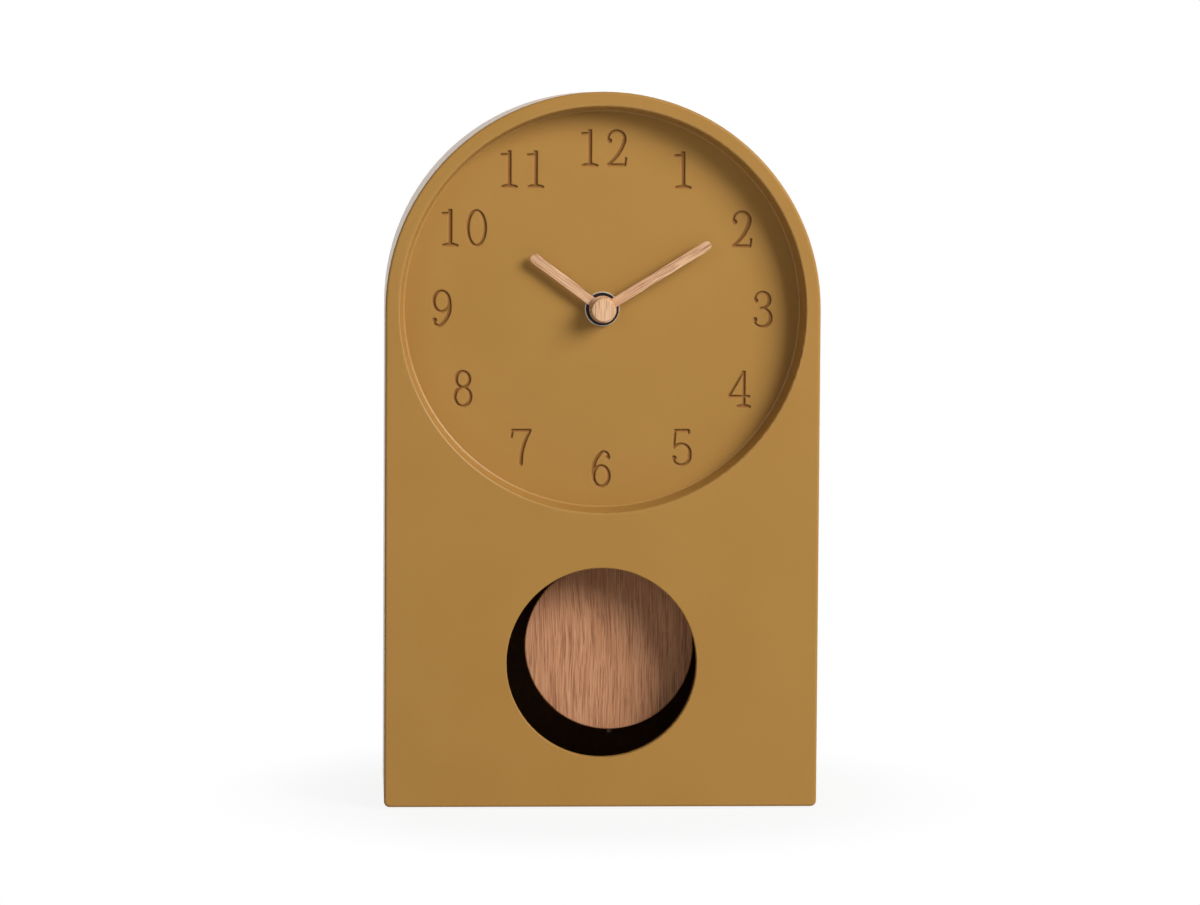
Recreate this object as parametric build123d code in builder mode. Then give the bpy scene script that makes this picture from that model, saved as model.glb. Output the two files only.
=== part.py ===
from build123d import *
from math import asin, cos, degrees, hypot, radians, sin
import os

# Desk clock with a pendulum. All sizes are in millimetres.
# The origin is the middle of the footprint on the table, +Z is up, the face looks along -Y
# and +X is on the right for someone who reads the dial.

# Case
case_width = 150.0
case_height = 247.2
case_depth = 70.0
case_wall = 3.0
panel_thickness = 3.0
corner_radius = 2.0
front_edge_radius = 0.9
rim_width = 5.0
recess_depth = 10.5
recess_draft = 1.2
recess_wall = 2.5
recess_edge_radius = 0.6
lip_width = 0.5
lip_rise = 0.3
lip_land = 0.1
window_radius = 32.9
window_below_middle = 0.9
window_edge_radius = 0.35

# Rubber feet, set into pockets of the case floor
foot_radius = 6.0
foot_proud = 0.8
foot_pocket = 1.0
foot_inset_x = 16.0
foot_inset_y = 12.0
pocket_clearance = 0.1

# Back cover and its screws
cover_thickness = 2.5
cover_sunk = 0.5
cover_clearance = 0.25
access_width = 66.0
access_above_axis = 29.0
access_below_axis = 64.0
access_corner = 6.0
boss_radius = 3.6
boss_length = 20.0
boss_inset = 5.0
boss_rib = 3.0
lower_boss_z = 16.0
middle_boss_z = 100.0
arch_boss_angle = 50.0
cover_screw_radius = 1.4
cover_screw_length = 12.0
cover_screw_head = 2.8
countersink_angle = 90.0
cover_hole_clearance = 0.2
cover_cross = 3.6
slot_width = 0.7
slot_depth = 0.6

# Dial with engraved numerals
dial_thickness = 2.5
dial_flange = 2.2
numeral_height = 12.8
numeral_ring = 55.6
numeral_depth = 0.5
numeral_advance = 0.71
stem_share = 0.105
hairline_share = 0.062
middle_share = 0.09
bar_share = 0.075
serif_share = 0.05

# Hands and their hub stack, heights above the dial
washer_radius = 5.95
washer_thickness = 0.4
nut_radius = 5.7
nut_thickness = 1.6
nut_slot_width = 1.3
nut_slot_depth = 0.9
nut_slot_sunk = 0.7
hand_thickness = 1.0
hand_gap = 0.6
hour_hand_length = 30.8
hour_hand_width = 3.4
minute_hand_length = 43.6
minute_hand_width = 3.3
hub_radius = 4.7
cap_radius = 4.1
cap_height = 4.2
cap_edge_radius = 0.5
cap_bore_depth = 2.1
hour_shown = 10
minute_shown = 9.7
hour_hand_ahead = 1.7

# Movement housing
gasket_radius = 9.0
gasket_thickness = 1.0
housing_width = 58.0
housing_above_axis = 22.0
housing_below_axis = 54.0
housing_corner = 4.0
housing_wall = 1.5
housing_split = 9.5
corner_post_inset = 4.5
corner_post_radius = 2.4
housing_screw_radius = 0.9
housing_screw_head = 1.9
housing_cross = 2.0
screw_head_thickness = 1.0

# Bushing and arbors of the hands
bushing_radius = 4.0
bushing_flange_radius = 6.0
bushing_flange_thickness = 0.8
tube_radius = 2.5
minute_shaft_radius = 1.65
clutch_seat_radius = 1.2
clutch_washer_radius = 2.4
rear_pivot_radius = 0.7
running_clearance = 0.05
fit_clearance = 0.02

# Wheels: tooth form, modules and tooth counts
wheel_addendum = 0.9
pinion_addendum = 0.6
dedendum = 1.25
tooth_share = 0.40
wheel_tip_share = 0.35
pinion_tip_share = 0.45
train_module = 0.25
rotor_module = 0.20
motion_module = 0.40
train_pinion_teeth = 8
centre_teeth = 64
third_teeth = 60
second_teeth = 40
first_teeth = 48
cannon_teeth = 12
minute_teeth = 36
minute_pinion_teeth = 10
hour_teeth = 40
wheel_thickness = 1.0
motion_thickness = 1.2
layer_gap = 0.45
arbor_radius = 0.5
rotor_arbor_radius = 0.4
minute_arbor_radius = 0.6
setting_arbor_radius = 1.0
bearing_depth = 0.9

# Directions from one axis to the next, in degrees, seen from the front
third_direction = 100.0
second_direction = 190.0
first_direction = 260.0
rotor_direction = 250.0
minute_direction = -20.0
setting_direction = 20.0

# Motor, bridge and circuit
magnet_radius = 2.5
magnet_length = 2.8
stator_thickness = 1.4
stator_ring_radius = 4.5
stator_strip = 3.0
core_height = 2.4
rotor_air_gap = 0.4
coil_drop = 13.5
coil_far_end = 23.5
coil_near_end = 6.5
bobbin_flange_radius = 3.4
bobbin_flange = 0.8
bobbin_core_radius = 2.0
winding_radius = 3.1
bobbin_end_gap = 2.2
bridge_thickness = 1.2
bridge_strip = 5.0
bridge_post_radius = 1.8
bridge_post_left = (-20.0, 14.0)
bridge_post_right = (12.0, 13.0)
bridge_post_low = (0.0, -14.0)
bridge_screw_radius = 0.7
bridge_screw_head = 1.4
bridge_screw_length = 4.8
stake_radius = 0.8
stake_post_radius = 1.5
stake_proud = 0.5
board_width = 11.0
board_height = 11.0
board_thickness = 1.0
board_place = (21.2, 9.6)
crystal_radius = 1.0
crystal_length = 6.0
chip_radius = 2.2
chip_thickness = 0.8
chip_edge_radius = 0.4
chip_offset = 2.7
crystal_inset = 2.0
knob_radius = 7.0
knob_length = 6.0
knob_flutes = 24
knob_flute_radius = 0.5
knob_gap = 0.5
knob_bore_depth = 3.0

# Battery and its bay, AA size
battery_radius = 7.1
battery_length = 49.3
battery_nub_radius = 2.7
battery_nub = 1.2
battery_drop = 28.0
bay_wall = 1.2
bay_floor = 1.1
bay_clearance = 1.1
bay_side_gap = 0.3
bay_end_wall = 0.7
contact_thickness = 0.4
contact_height = 8.0
contact_width = 9.0
contact_touch = 0.1
contact_pad = 4.0

# Pendulum and its drive
pivot_drop = 40.0
pivot_pin_radius = 1.0
pivot_boss_radius = 2.5
pivot_boss = 0.4
lever_hub_radius = 3.2
lever_width = 6.0
lever_thickness = 2.5
lever_gap = 2.0
lever_collar_radius = 2.0
lever_end_play = 0.1
drive_magnet_drop = 7.5
drive_magnet_radius = 3.5
drive_magnet_thickness = 1.2
peg_drop = 17.0
peg_radius = 1.2
peg_length = 2.4
rod_width = 1.4
rod_thickness = 0.8
rod_eye_radius = 3.2
rod_below_bob = 4.0
bob_radius = 29.5
bob_thickness = 3.0
bob_edge_radius = 0.5
bob_setback = 15.0
bob_aside = 3.5
bob_above_window = 3.8
keeper_length = 24.0
keeper_height = 8.0
keeper_thickness = 0.6
keeper_screw_spread = 8.0
keeper_screw_radius = 0.9
keeper_screw_depth = 2.0
keeper_screw_head = 1.8
clip_radius = 2.2
clip_thickness = 0.6
pin_proud = 0.6
drive_coil_drop = 46.0
drive_coil_radius = 5.8
drive_coil_core = 2.2
drive_coil_bore = 1.5
drive_coil_flange = 0.8
drive_coil_standoff = 4.0
drive_coil_end_gap = 0.8

# Heights of the outline
floor_z = foot_proud
arch_radius = case_width / 2
axis_z = floor_z + case_height - arch_radius
recess_radius = arch_radius - rim_width
recess_bottom_z = axis_z - recess_radius
window_z = (floor_z + recess_bottom_z) / 2 - window_below_middle
pivot_z = axis_z - pivot_drop
inner_half_width = arch_radius - case_wall

# Depths behind the front face, from the dial backwards
recess_foot_radius = recess_radius - recess_draft
lip_radius = recess_foot_radius - lip_width
lip_front = recess_depth - lip_land - lip_rise
dial_front = recess_depth
dial_back = dial_front + dial_thickness
housing_front = dial_back + gasket_thickness
housing_inside = housing_front + housing_wall
hour_layer = housing_inside + bushing_flange_thickness + layer_gap
minute_layer = hour_layer + motion_thickness + layer_gap
centre_layer = minute_layer + motion_thickness + layer_gap
third_layer = centre_layer + wheel_thickness + layer_gap
second_layer = third_layer + wheel_thickness + layer_gap
first_layer = second_layer + wheel_thickness + layer_gap
magnet_layer = first_layer + wheel_thickness + layer_gap
stator_layer = magnet_layer + (magnet_length - stator_thickness) / 2
bridge_layer = magnet_layer + magnet_length + layer_gap
bridge_back = bridge_layer + bridge_thickness
housing_end_inside = bridge_back + screw_head_thickness + layer_gap
housing_back = housing_end_inside + housing_wall
housing_joint = housing_front + housing_split
bearing_front = housing_inside - bearing_depth

# Depths of the pendulum, behind the movement
lever_front = housing_back + lever_gap
lever_back = lever_front + lever_thickness
rod_back = lever_back + rod_thickness
bob_front = panel_thickness + bob_setback
bob_back = bob_front + bob_thickness
pendulum_length = pivot_z - window_z - bob_above_window
swing_shown = degrees(asin(bob_aside / pendulum_length))
keeper_spots = [(side * keeper_screw_spread, -pendulum_length) for side in (-1, 1)]

# Depths in front of the dial
nut_back = dial_front - washer_thickness
nut_front = nut_back - nut_thickness
bushing_front = nut_front - layer_gap
hour_hand_back = bushing_front - layer_gap
hour_hand_front = hour_hand_back - hand_thickness
tube_front = hour_hand_front - layer_gap / 2
minute_hand_back = hour_hand_front - hand_gap
minute_hand_front = minute_hand_back - hand_thickness
cap_front = minute_hand_front - cap_height
shaft_front = minute_hand_front - cap_bore_depth

# Angles of the hands, clockwise from twelve
minute_angle = minute_shown * 6.0
hour_angle = hour_shown * 30.0 + minute_shown * 0.5 + hour_hand_ahead

# Back cover depths
cover_back = case_depth - cover_sunk
cover_front = cover_back - cover_thickness
boss_front = cover_front - boss_length


def behind(depth):
    """Plane parallel to the face, this deep behind it, looking out of the front."""
    return Plane.XZ.offset(case_depth / 2 - depth)


def at_rear(depth):
    """Plane parallel to the face, this deep behind it, looking out of the back."""
    return Plane(origin=(0, depth - case_depth / 2, 0), x_dir=(-1, 0, 0), z_dir=(0, 1, 0))


def on_pendulum(depth):
    """Plane at this depth with its origin on the pivot, turned with the swung pendulum."""
    lean = radians(swing_shown)
    pivot = (0, depth - case_depth / 2, pivot_z)
    return Plane(origin=pivot, x_dir=(cos(lean), 0, sin(lean)), z_dir=(0, -1, 0))


def from_axis(x, up):
    """Point on the face given from the axis of the hands."""
    return (x, axis_z + up)


def step_to(start, distance, direction):
    """Point at a distance and direction, in degrees, from another point."""
    turn = radians(direction)
    return (start[0] + distance * cos(turn), start[1] + distance * sin(turn))


def arch_outline(half_width, bottom, corner):
    """Arch-topped outline round the axis of the hands, drawn in the sketch that is open."""
    with BuildLine() as outline:
        Line((-half_width, axis_z), (-half_width, bottom))
        Line((-half_width, bottom), (half_width, bottom))
        Line((half_width, bottom), (half_width, axis_z))
        ThreePointArc((half_width, axis_z), (0, axis_z + half_width), (-half_width, axis_z))
    face = make_face(outline.edges())
    fillet(face.vertices().group_by(Axis.Y)[0], corner)


def tooth_points(teeth, module, phase, addendum, tip_share):
    """Corner points of a toothed outline; phase is the direction of one tooth, in degrees."""
    pitch_radius = module * teeth / 2
    half = tooth_share * 180.0 / teeth
    root = pitch_radius - dedendum * module
    tip = pitch_radius + addendum * module
    corners = ((root, -half), (pitch_radius, -half), (tip, -tip_share * half))
    corners += ((tip, tip_share * half), (pitch_radius, half), (root, half))
    points = []
    for tooth in range(teeth):
        for radius, offset in corners:
            angle = radians(phase + tooth * 360.0 / teeth + offset)
            points.append((radius * cos(angle), radius * sin(angle)))
    return points


def wheel_teeth(teeth, module, phase):
    """Toothed wheel drawn at the place in force in the open sketch."""
    Polygon(*tooth_points(teeth, module, phase, wheel_addendum, wheel_tip_share), align=None)


def pinion_teeth(teeth, module, phase):
    """Toothed pinion drawn at the place in force in the open sketch."""
    Polygon(*tooth_points(teeth, module, phase, pinion_addendum, pinion_tip_share), align=None)


def mating_phase(phase, teeth, mate_teeth, direction):
    """Phase of a mating wheel that puts its gap where this wheel has a tooth."""
    pitch = 360.0 / teeth
    share = ((direction - phase) / pitch) % 1.0
    return direction + 180.0 - (0.5 - share) * 360.0 / mate_teeth


# Axes of the train and the phases of its teeth
centre_place = from_axis(0, 0)
third_reach = (centre_teeth + train_pinion_teeth) * train_module / 2
second_reach = (third_teeth + train_pinion_teeth) * train_module / 2
first_reach = (second_teeth + train_pinion_teeth) * train_module / 2
rotor_reach = (first_teeth + train_pinion_teeth) * rotor_module / 2
motion_reach = (cannon_teeth + minute_teeth) * motion_module / 2
hour_module = 2 * motion_reach / (hour_teeth + minute_pinion_teeth)
third_place = step_to(centre_place, third_reach, third_direction)
second_place = step_to(third_place, second_reach, second_direction)
first_place = step_to(second_place, first_reach, first_direction)
rotor_place = step_to(first_place, rotor_reach, rotor_direction)
minute_place = step_to(centre_place, motion_reach, minute_direction)
setting_place = step_to(minute_place, motion_reach, setting_direction)
third_pinion_phase = mating_phase(0, centre_teeth, train_pinion_teeth, third_direction)
second_pinion_phase = mating_phase(0, third_teeth, train_pinion_teeth, second_direction)
first_pinion_phase = mating_phase(0, second_teeth, train_pinion_teeth, first_direction)
rotor_pinion_phase = mating_phase(0, first_teeth, train_pinion_teeth, rotor_direction)
cannon_phase = mating_phase(0, minute_teeth, cannon_teeth, minute_direction + 180.0)
setting_phase = mating_phase(0, minute_teeth, cannon_teeth, setting_direction)
minute_pinion_phase = mating_phase(0, hour_teeth, minute_pinion_teeth, minute_direction)

# Places that several pieces share
housing_middle = from_axis(0, (housing_above_axis - housing_below_axis) / 2)
housing_height = housing_above_axis + housing_below_axis
post_x = housing_width / 2 - corner_post_inset
corner_posts = []
for post_side in (-1, 1):
    corner_posts.append(from_axis(post_side * post_x, housing_above_axis - corner_post_inset))
    corner_posts.append(from_axis(post_side * post_x, corner_post_inset - housing_below_axis))
bridge_posts = [from_axis(*bridge_post_left), from_axis(*bridge_post_right), from_axis(*bridge_post_low)]
stator_posts = [from_axis(-coil_far_end, -coil_drop), from_axis(-coil_near_end, -coil_drop)]
board_post = from_axis(*board_place)
drive_coil_place = from_axis(0, -drive_coil_drop)
arch_boss_reach = inner_half_width - boss_inset
cover_bosses = []
for boss_side in (-1, 1):
    outward = 0.0 if boss_side > 0 else 180.0
    arch_direction = arch_boss_angle if boss_side > 0 else 180.0 - arch_boss_angle
    cover_bosses.append(((boss_side * arch_boss_reach, lower_boss_z), outward))
    cover_bosses.append(((boss_side * arch_boss_reach, middle_boss_z), outward))
    cover_bosses.append((step_to(centre_place, arch_boss_reach, arch_direction), arch_direction))
foot_reach_x = arch_radius - foot_inset_x
foot_reach_y = case_depth / 2 - foot_inset_y
foot_spots = []
for foot_x in (-1, 1):
    for foot_y in (-1, 1):
        foot_spots.append((foot_x * foot_reach_x, foot_y * foot_reach_y))

# Case: arch shell with the dial recess, the pendulum window, screw bosses and foot pockets
with BuildPart() as front_case:
    with BuildSketch(behind(0)):
        arch_outline(arch_radius, floor_z, corner_radius)
    extrude(amount=-case_depth)
    fillet(front_case.faces().sort_by(Axis.Y)[0].edges(), front_edge_radius)
    with BuildSketch(behind(panel_thickness)):
        arch_outline(inner_half_width, floor_z + case_wall, corner_radius)
    extrude(amount=-case_depth, mode=Mode.SUBTRACT)
    with BuildSketch(behind(panel_thickness)):
        with Locations(centre_place):
            Circle(recess_radius + recess_wall)
    extrude(amount=-(recess_depth - panel_thickness))
    with BuildSketch(behind(boss_front)):
        for place, direction in cover_bosses:
            with Locations(place):
                Circle(boss_radius)
            with Locations(Location((*place, 0), (0, 0, direction))):
                Rectangle(boss_inset + case_wall / 2, boss_rib, align=(Align.MIN, Align.CENTER))
    extrude(amount=-boss_length)
    with BuildSketch(behind(cover_front)):
        with Locations(*[place for place, direction in cover_bosses]):
            Circle(cover_screw_radius)
    extrude(amount=cover_screw_length - cover_thickness, mode=Mode.SUBTRACT)
    recess_steps = (
        (0, lip_front, recess_radius, recess_foot_radius),
        (lip_front, lip_rise, recess_foot_radius, lip_radius),
    )
    for start, length, wide, narrow in recess_steps:
        with Locations(Location(behind(start)) * Location((*centre_place, 0))):
            Cone(
                narrow,
                wide,
                length,
                align=(Align.CENTER, Align.CENTER, Align.MAX),
                mode=Mode.SUBTRACT,
            )
    with BuildSketch(behind(0)):
        with Locations(centre_place):
            Circle(lip_radius)
    extrude(amount=-recess_depth, mode=Mode.SUBTRACT)
    with BuildSketch(behind(0)):
        with Locations((0, window_z)):
            Circle(window_radius)
    extrude(amount=-panel_thickness, mode=Mode.SUBTRACT)
    for radius, rounding in ((recess_radius, recess_edge_radius), (window_radius, window_edge_radius)):
        front_circles = front_case.edges().filter_by(GeomType.CIRCLE).group_by(Axis.Y)[0]
        fillet([edge for edge in front_circles if abs(edge.radius - radius) < fit_clearance], rounding)
    with BuildSketch(Plane.XY.offset(floor_z)):
        with Locations(*foot_spots):
            Circle(foot_radius + pocket_clearance)
    extrude(amount=foot_pocket, mode=Mode.SUBTRACT)

# Rubber feet, one in each pocket
with BuildPart() as feet:
    with BuildSketch(Plane.XY):
        with Locations(*foot_spots):
            Circle(foot_radius)
    extrude(amount=foot_proud + foot_pocket)

# Back cover with the access opening to battery and setting knob
with BuildPart() as back_cover:
    with BuildSketch(behind(cover_front)):
        arch_outline(
            inner_half_width - cover_clearance,
            floor_z + case_wall + cover_clearance,
            corner_radius,
        )
    extrude(amount=-cover_thickness)
    with BuildSketch(behind(cover_front)):
        with Locations(from_axis(0, (access_above_axis - access_below_axis) / 2)):
            RectangleRounded(access_width, access_above_axis + access_below_axis, access_corner)
    extrude(amount=-cover_thickness, mode=Mode.SUBTRACT)
    with Locations(at_rear(cover_back)):
        with Locations(*[(-place[0], place[1]) for place, direction in cover_bosses]):
            CounterSinkHole(
                cover_screw_radius + cover_hole_clearance,
                cover_screw_head,
                counter_sink_angle=countersink_angle,
            )

# Countersunk screws of the back cover
with BuildPart() as cover_screws:
    with BuildSketch(behind(cover_back)):
        with Locations(*[place for place, direction in cover_bosses]):
            Circle(cover_screw_radius)
    extrude(amount=cover_screw_length)
    with Locations(at_rear(cover_back)):
        with Locations(*[(-place[0], place[1]) for place, direction in cover_bosses]):
            Cone(
                cover_screw_radius,
                cover_screw_head - fit_clearance,
                cover_screw_head - cover_screw_radius,
                align=(Align.CENTER, Align.CENTER, Align.MAX),
            )
    with BuildSketch(behind(cover_back)):
        with Locations(*[place for place, direction in cover_bosses]):
            Rectangle(cover_cross, slot_width)
            Rectangle(slot_width, cover_cross)
    extrude(amount=slot_depth, mode=Mode.SUBTRACT)

stem = stem_share * numeral_height
hairline = hairline_share * numeral_height
middle = middle_share * numeral_height
bar = bar_share * numeral_height


def glyph_point(point):
    """Point of a numeral, from shares of its height to millimetres, middle at the origin."""
    return (point[0] * numeral_height, (point[1] - 0.5) * numeral_height)


def straight(start, end, width):
    """Straight stroke of a numeral."""
    with BuildLine() as path:
        Line(glyph_point(start), glyph_point(end))
    trace(path.edges(), line_width=width)


def swelling(points, widths):
    """Round stroke through three points, with its own width at each of them."""
    stops = [glyph_point(point) for point in points]
    centre = ThreePointArc(*stops, mode=Mode.PRIVATE).arc_center
    outer = []
    inner = []
    for point, width in zip(stops, widths):
        reach = hypot(point[0] - centre.X, point[1] - centre.Y)
        out = ((point[0] - centre.X) / reach, (point[1] - centre.Y) / reach)
        outer.append((point[0] + out[0] * width / 2, point[1] + out[1] * width / 2))
        inner.append((point[0] - out[0] * width / 2, point[1] - out[1] * width / 2))
    with BuildLine() as outline:
        ThreePointArc(*outer)
        Line(outer[2], inner[2])
        ThreePointArc(inner[2], inner[1], inner[0])
        Line(inner[0], outer[0])
    make_face(outline.edges())


def ball(point, share):
    """Round end of a stroke."""
    with Locations(glyph_point(point)):
        Circle(share * numeral_height)


def foot_serif(x_middle, half):
    """Slab under an upright stem, thicker where the stem lands on it."""
    right = [(half, 0), (half, serif_share), (stem_share / 2, 2 * serif_share)]
    left = [(-x, up) for x, up in reversed(right)]
    with BuildLine() as outline:
        Polyline(*[glyph_point((x_middle + x, up)) for x, up in right + left], close=True)
    make_face(outline.edges())


def ring(height, half_width, half_height):
    """Closed oval stroke, thick at its sides."""
    with Locations(glyph_point((0, height))):
        Ellipse(half_width * numeral_height, half_height * numeral_height)
        Ellipse(
            half_width * numeral_height - middle,
            half_height * numeral_height - hairline,
            mode=Mode.SUBTRACT,
        )


# Numerals, each drawn upright round its own middle
with BuildSketch() as glyph_0:
    ring(0.5, 0.28, 0.5)

with BuildSketch() as glyph_1:
    straight((0, 0.02), (0, 1.0), stem)
    straight((0, 0.90), (-0.21, 0.885), hairline)
    ball((-0.21, 0.885), 0.035)
    foot_serif(0, 0.22)

with BuildSketch() as glyph_2:
    swelling(((-0.215, 0.72), (0.0, 0.968), (0.22, 0.72)), (hairline, hairline, stem))
    swelling(((0.22, 0.72), (0.09, 0.40), (-0.22, 0.05)), (stem, middle, hairline))
    straight((-0.25, 0.045), (0.25, 0.045), bar)
    straight((0.235, 0.03), (0.265, 0.25), hairline)
    ball((-0.185, 0.695), 0.065)

with BuildSketch() as glyph_3:
    swelling(((-0.20, 0.78), (0.0, 0.969), (0.195, 0.76)), (hairline, hairline, stem))
    swelling(((0.195, 0.76), (0.12, 0.59), (-0.06, 0.53)), (stem, bar, hairline))
    swelling(((-0.06, 0.53), (0.15, 0.465), (0.23, 0.275)), (hairline, bar, stem))
    swelling(((0.23, 0.275), (0.0, 0.031), (-0.22, 0.20)), (stem, hairline, hairline))
    ball((-0.175, 0.745), 0.06)
    ball((-0.19, 0.225), 0.06)

with BuildSketch() as glyph_4:
    straight((0.1, 0.02), (0.1, 1.0), middle)
    straight((0.08, 0.97), (-0.30, 0.32), hairline)
    straight((-0.33, 0.31), (0.27, 0.31), hairline)
    foot_serif(0.1, 0.19)

with BuildSketch() as glyph_5:
    straight((-0.19, 0.965), (0.21, 0.965), bar)
    straight((0.2, 0.98), (0.2, 0.88), hairline)
    straight((-0.165, 0.97), (-0.20, 0.48), hairline)
    swelling(((-0.20, 0.50), (0.02, 0.60), (0.225, 0.31)), (hairline, hairline, stem))
    swelling(((0.225, 0.31), (0.0, 0.031), (-0.22, 0.20)), (stem, hairline, hairline))
    ball((-0.19, 0.225), 0.06)

with BuildSketch() as glyph_6:
    ring(0.31, 0.255, 0.31)
    swelling(((-0.205, 0.31), (-0.12, 0.80), (0.03, 0.969)), (stem, middle, hairline))
    swelling(((0.03, 0.969), (0.14, 0.945), (0.205, 0.85)), (hairline, hairline, hairline))
    ball((0.18, 0.82), 0.06)

with BuildSketch() as glyph_7:
    straight((-0.26, 0.96), (0.27, 0.96), bar)
    straight((-0.24, 0.98), (-0.265, 0.76), hairline)
    swelling(((0.245, 0.95), (0.06, 0.55), (-0.01, 0.04)), (hairline, middle, stem))
    ball((-0.01, 0.055), 0.055)

with BuildSketch() as glyph_8:
    ring(0.755, 0.225, 0.245)
    ring(0.28, 0.26, 0.28)

with BuildSketch() as glyph_9:
    add(glyph_6.sketch.rotate(Axis.Z, 180))

glyphs = [glyph_0, glyph_1, glyph_2, glyph_3, glyph_4, glyph_5, glyph_6, glyph_7, glyph_8, glyph_9]

# Dial: plate behind the foot of the recess wall, numerals engraved
with BuildPart() as dial:
    with BuildSketch(behind(dial_front)):
        with Locations(centre_place):
            Circle(recess_foot_radius + dial_flange)
    extrude(amount=-dial_thickness)
    with BuildSketch(behind(dial_front)):
        with Locations(centre_place):
            Circle(bushing_radius + running_clearance)
    extrude(amount=-dial_thickness, mode=Mode.SUBTRACT)
    with BuildSketch(behind(dial_front)):
        for hour in range(1, 13):
            place = step_to(centre_place, numeral_ring, 90.0 - hour * 30.0)
            digits = [int(digit) for digit in str(hour)]
            for count, digit in enumerate(digits):
                shift = (count - (len(digits) - 1) / 2) * numeral_advance * numeral_height
                with Locations((place[0] + shift, place[1])):
                    add(glyphs[digit].sketch)
    extrude(amount=-numeral_depth, mode=Mode.SUBTRACT)

# Rubber gasket between dial and movement
with BuildPart() as dial_gasket:
    with BuildSketch(behind(dial_back)):
        with Locations(centre_place):
            Circle(gasket_radius)
            Circle(bushing_radius + running_clearance, mode=Mode.SUBTRACT)
    extrude(amount=-gasket_thickness)

# Bright washer under the nut
with BuildPart() as nut_washer:
    with BuildSketch(behind(dial_front)):
        with Locations(centre_place):
            Circle(washer_radius)
            Circle(bushing_radius + running_clearance, mode=Mode.SUBTRACT)
    extrude(amount=washer_thickness)

# Slotted round nut
with BuildPart() as mounting_nut:
    with BuildSketch(behind(nut_back)):
        with Locations(centre_place):
            Circle(nut_radius)
            Circle(bushing_radius, mode=Mode.SUBTRACT)
    extrude(amount=nut_thickness)
    with BuildSketch(behind(nut_front)):
        with Locations(centre_place):
            with PolarLocations(nut_radius, 4):
                Rectangle(nut_slot_depth * 2, nut_slot_width)
    extrude(amount=-nut_slot_sunk, mode=Mode.SUBTRACT)

# Brass bushing that carries the hour tube and takes the nut
with BuildPart() as threaded_bushing:
    with BuildSketch(behind(bushing_front)):
        with Locations(centre_place):
            Circle(bushing_radius)
    extrude(amount=-(housing_inside - bushing_front))
    with BuildSketch(behind(housing_inside)):
        with Locations(centre_place):
            Circle(bushing_flange_radius)
    extrude(amount=-bushing_flange_thickness)
    with BuildSketch(behind(bushing_front)):
        with Locations(centre_place):
            Circle(tube_radius + running_clearance)
    extrude(amount=-(housing_inside + bushing_flange_thickness - bushing_front), mode=Mode.SUBTRACT)

# Pivot holes in the front wall of the movement: place of the axis and radius of the arbor
bearings = [
    (third_place, arbor_radius),
    (second_place, arbor_radius),
    (first_place, arbor_radius),
    (rotor_place, rotor_arbor_radius),
    (minute_place, minute_arbor_radius),
]

# Front half of the movement housing with its posts and pivot holes
with BuildPart() as movement_front_housing:
    with BuildSketch(behind(housing_front)):
        with Locations(housing_middle):
            RectangleRounded(housing_width, housing_height, housing_corner)
    extrude(amount=-housing_split)
    with BuildSketch(behind(housing_inside)):
        with Locations(housing_middle):
            RectangleRounded(
                housing_width - 2 * housing_wall,
                housing_height - 2 * housing_wall,
                housing_corner - housing_wall,
            )
    extrude(amount=-housing_split, mode=Mode.SUBTRACT)
    with BuildSketch(behind(housing_inside)):
        with Locations(*corner_posts):
            Circle(corner_post_radius)
    extrude(amount=-(housing_joint - housing_inside))
    with BuildSketch(behind(housing_inside)):
        with Locations(*corner_posts):
            Circle(housing_screw_radius)
    extrude(amount=-(housing_joint - housing_inside), mode=Mode.SUBTRACT)
    with BuildSketch(behind(housing_inside)):
        with Locations(*bridge_posts):
            Circle(bridge_post_radius)
    extrude(amount=-(bridge_layer - housing_inside))
    with BuildSketch(behind(housing_inside)):
        with Locations(*bridge_posts):
            Circle(bridge_screw_radius)
    extrude(amount=-(bridge_layer - housing_inside), mode=Mode.SUBTRACT)
    with BuildSketch(behind(housing_inside)):
        with Locations(*stator_posts, board_post):
            Circle(stake_post_radius)
    extrude(amount=-(stator_layer - housing_inside))
    with BuildSketch(behind(stator_layer)):
        with Locations(*stator_posts):
            Circle(stake_radius)
    extrude(amount=-(stator_thickness + stake_proud))
    with BuildSketch(behind(stator_layer)):
        with Locations(board_post):
            Circle(stake_radius)
    extrude(amount=-(board_thickness + stake_proud))
    with BuildSketch(behind(housing_inside)):
        with Locations(drive_coil_place):
            Circle(drive_coil_core)
    extrude(amount=-drive_coil_standoff)
    with BuildSketch(behind(housing_inside + drive_coil_standoff)):
        with Locations(drive_coil_place):
            Circle(drive_coil_bore)
    extrude(amount=-drive_coil_standoff)
    with BuildSketch(behind(housing_inside)):
        with Locations(centre_place):
            Circle(bushing_radius)
    extrude(amount=housing_wall, mode=Mode.SUBTRACT)
    for place, radius in bearings + [(setting_place, setting_arbor_radius)]:
        with BuildSketch(behind(housing_inside)):
            with Locations(place):
                Circle(radius + running_clearance)
        extrude(amount=bearing_depth + running_clearance, mode=Mode.SUBTRACT)

# Battery bay: half sizes and depths
bay_half_length = housing_width / 2 - housing_wall - bay_side_gap - bay_end_wall
bay_half_height = battery_radius + bay_clearance
bay_front = housing_inside + bay_side_gap
bay_bottom = bay_front + bay_floor
bay_middle = from_axis(0, -battery_drop)
battery_depth = bay_bottom + bay_side_gap + battery_radius

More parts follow.
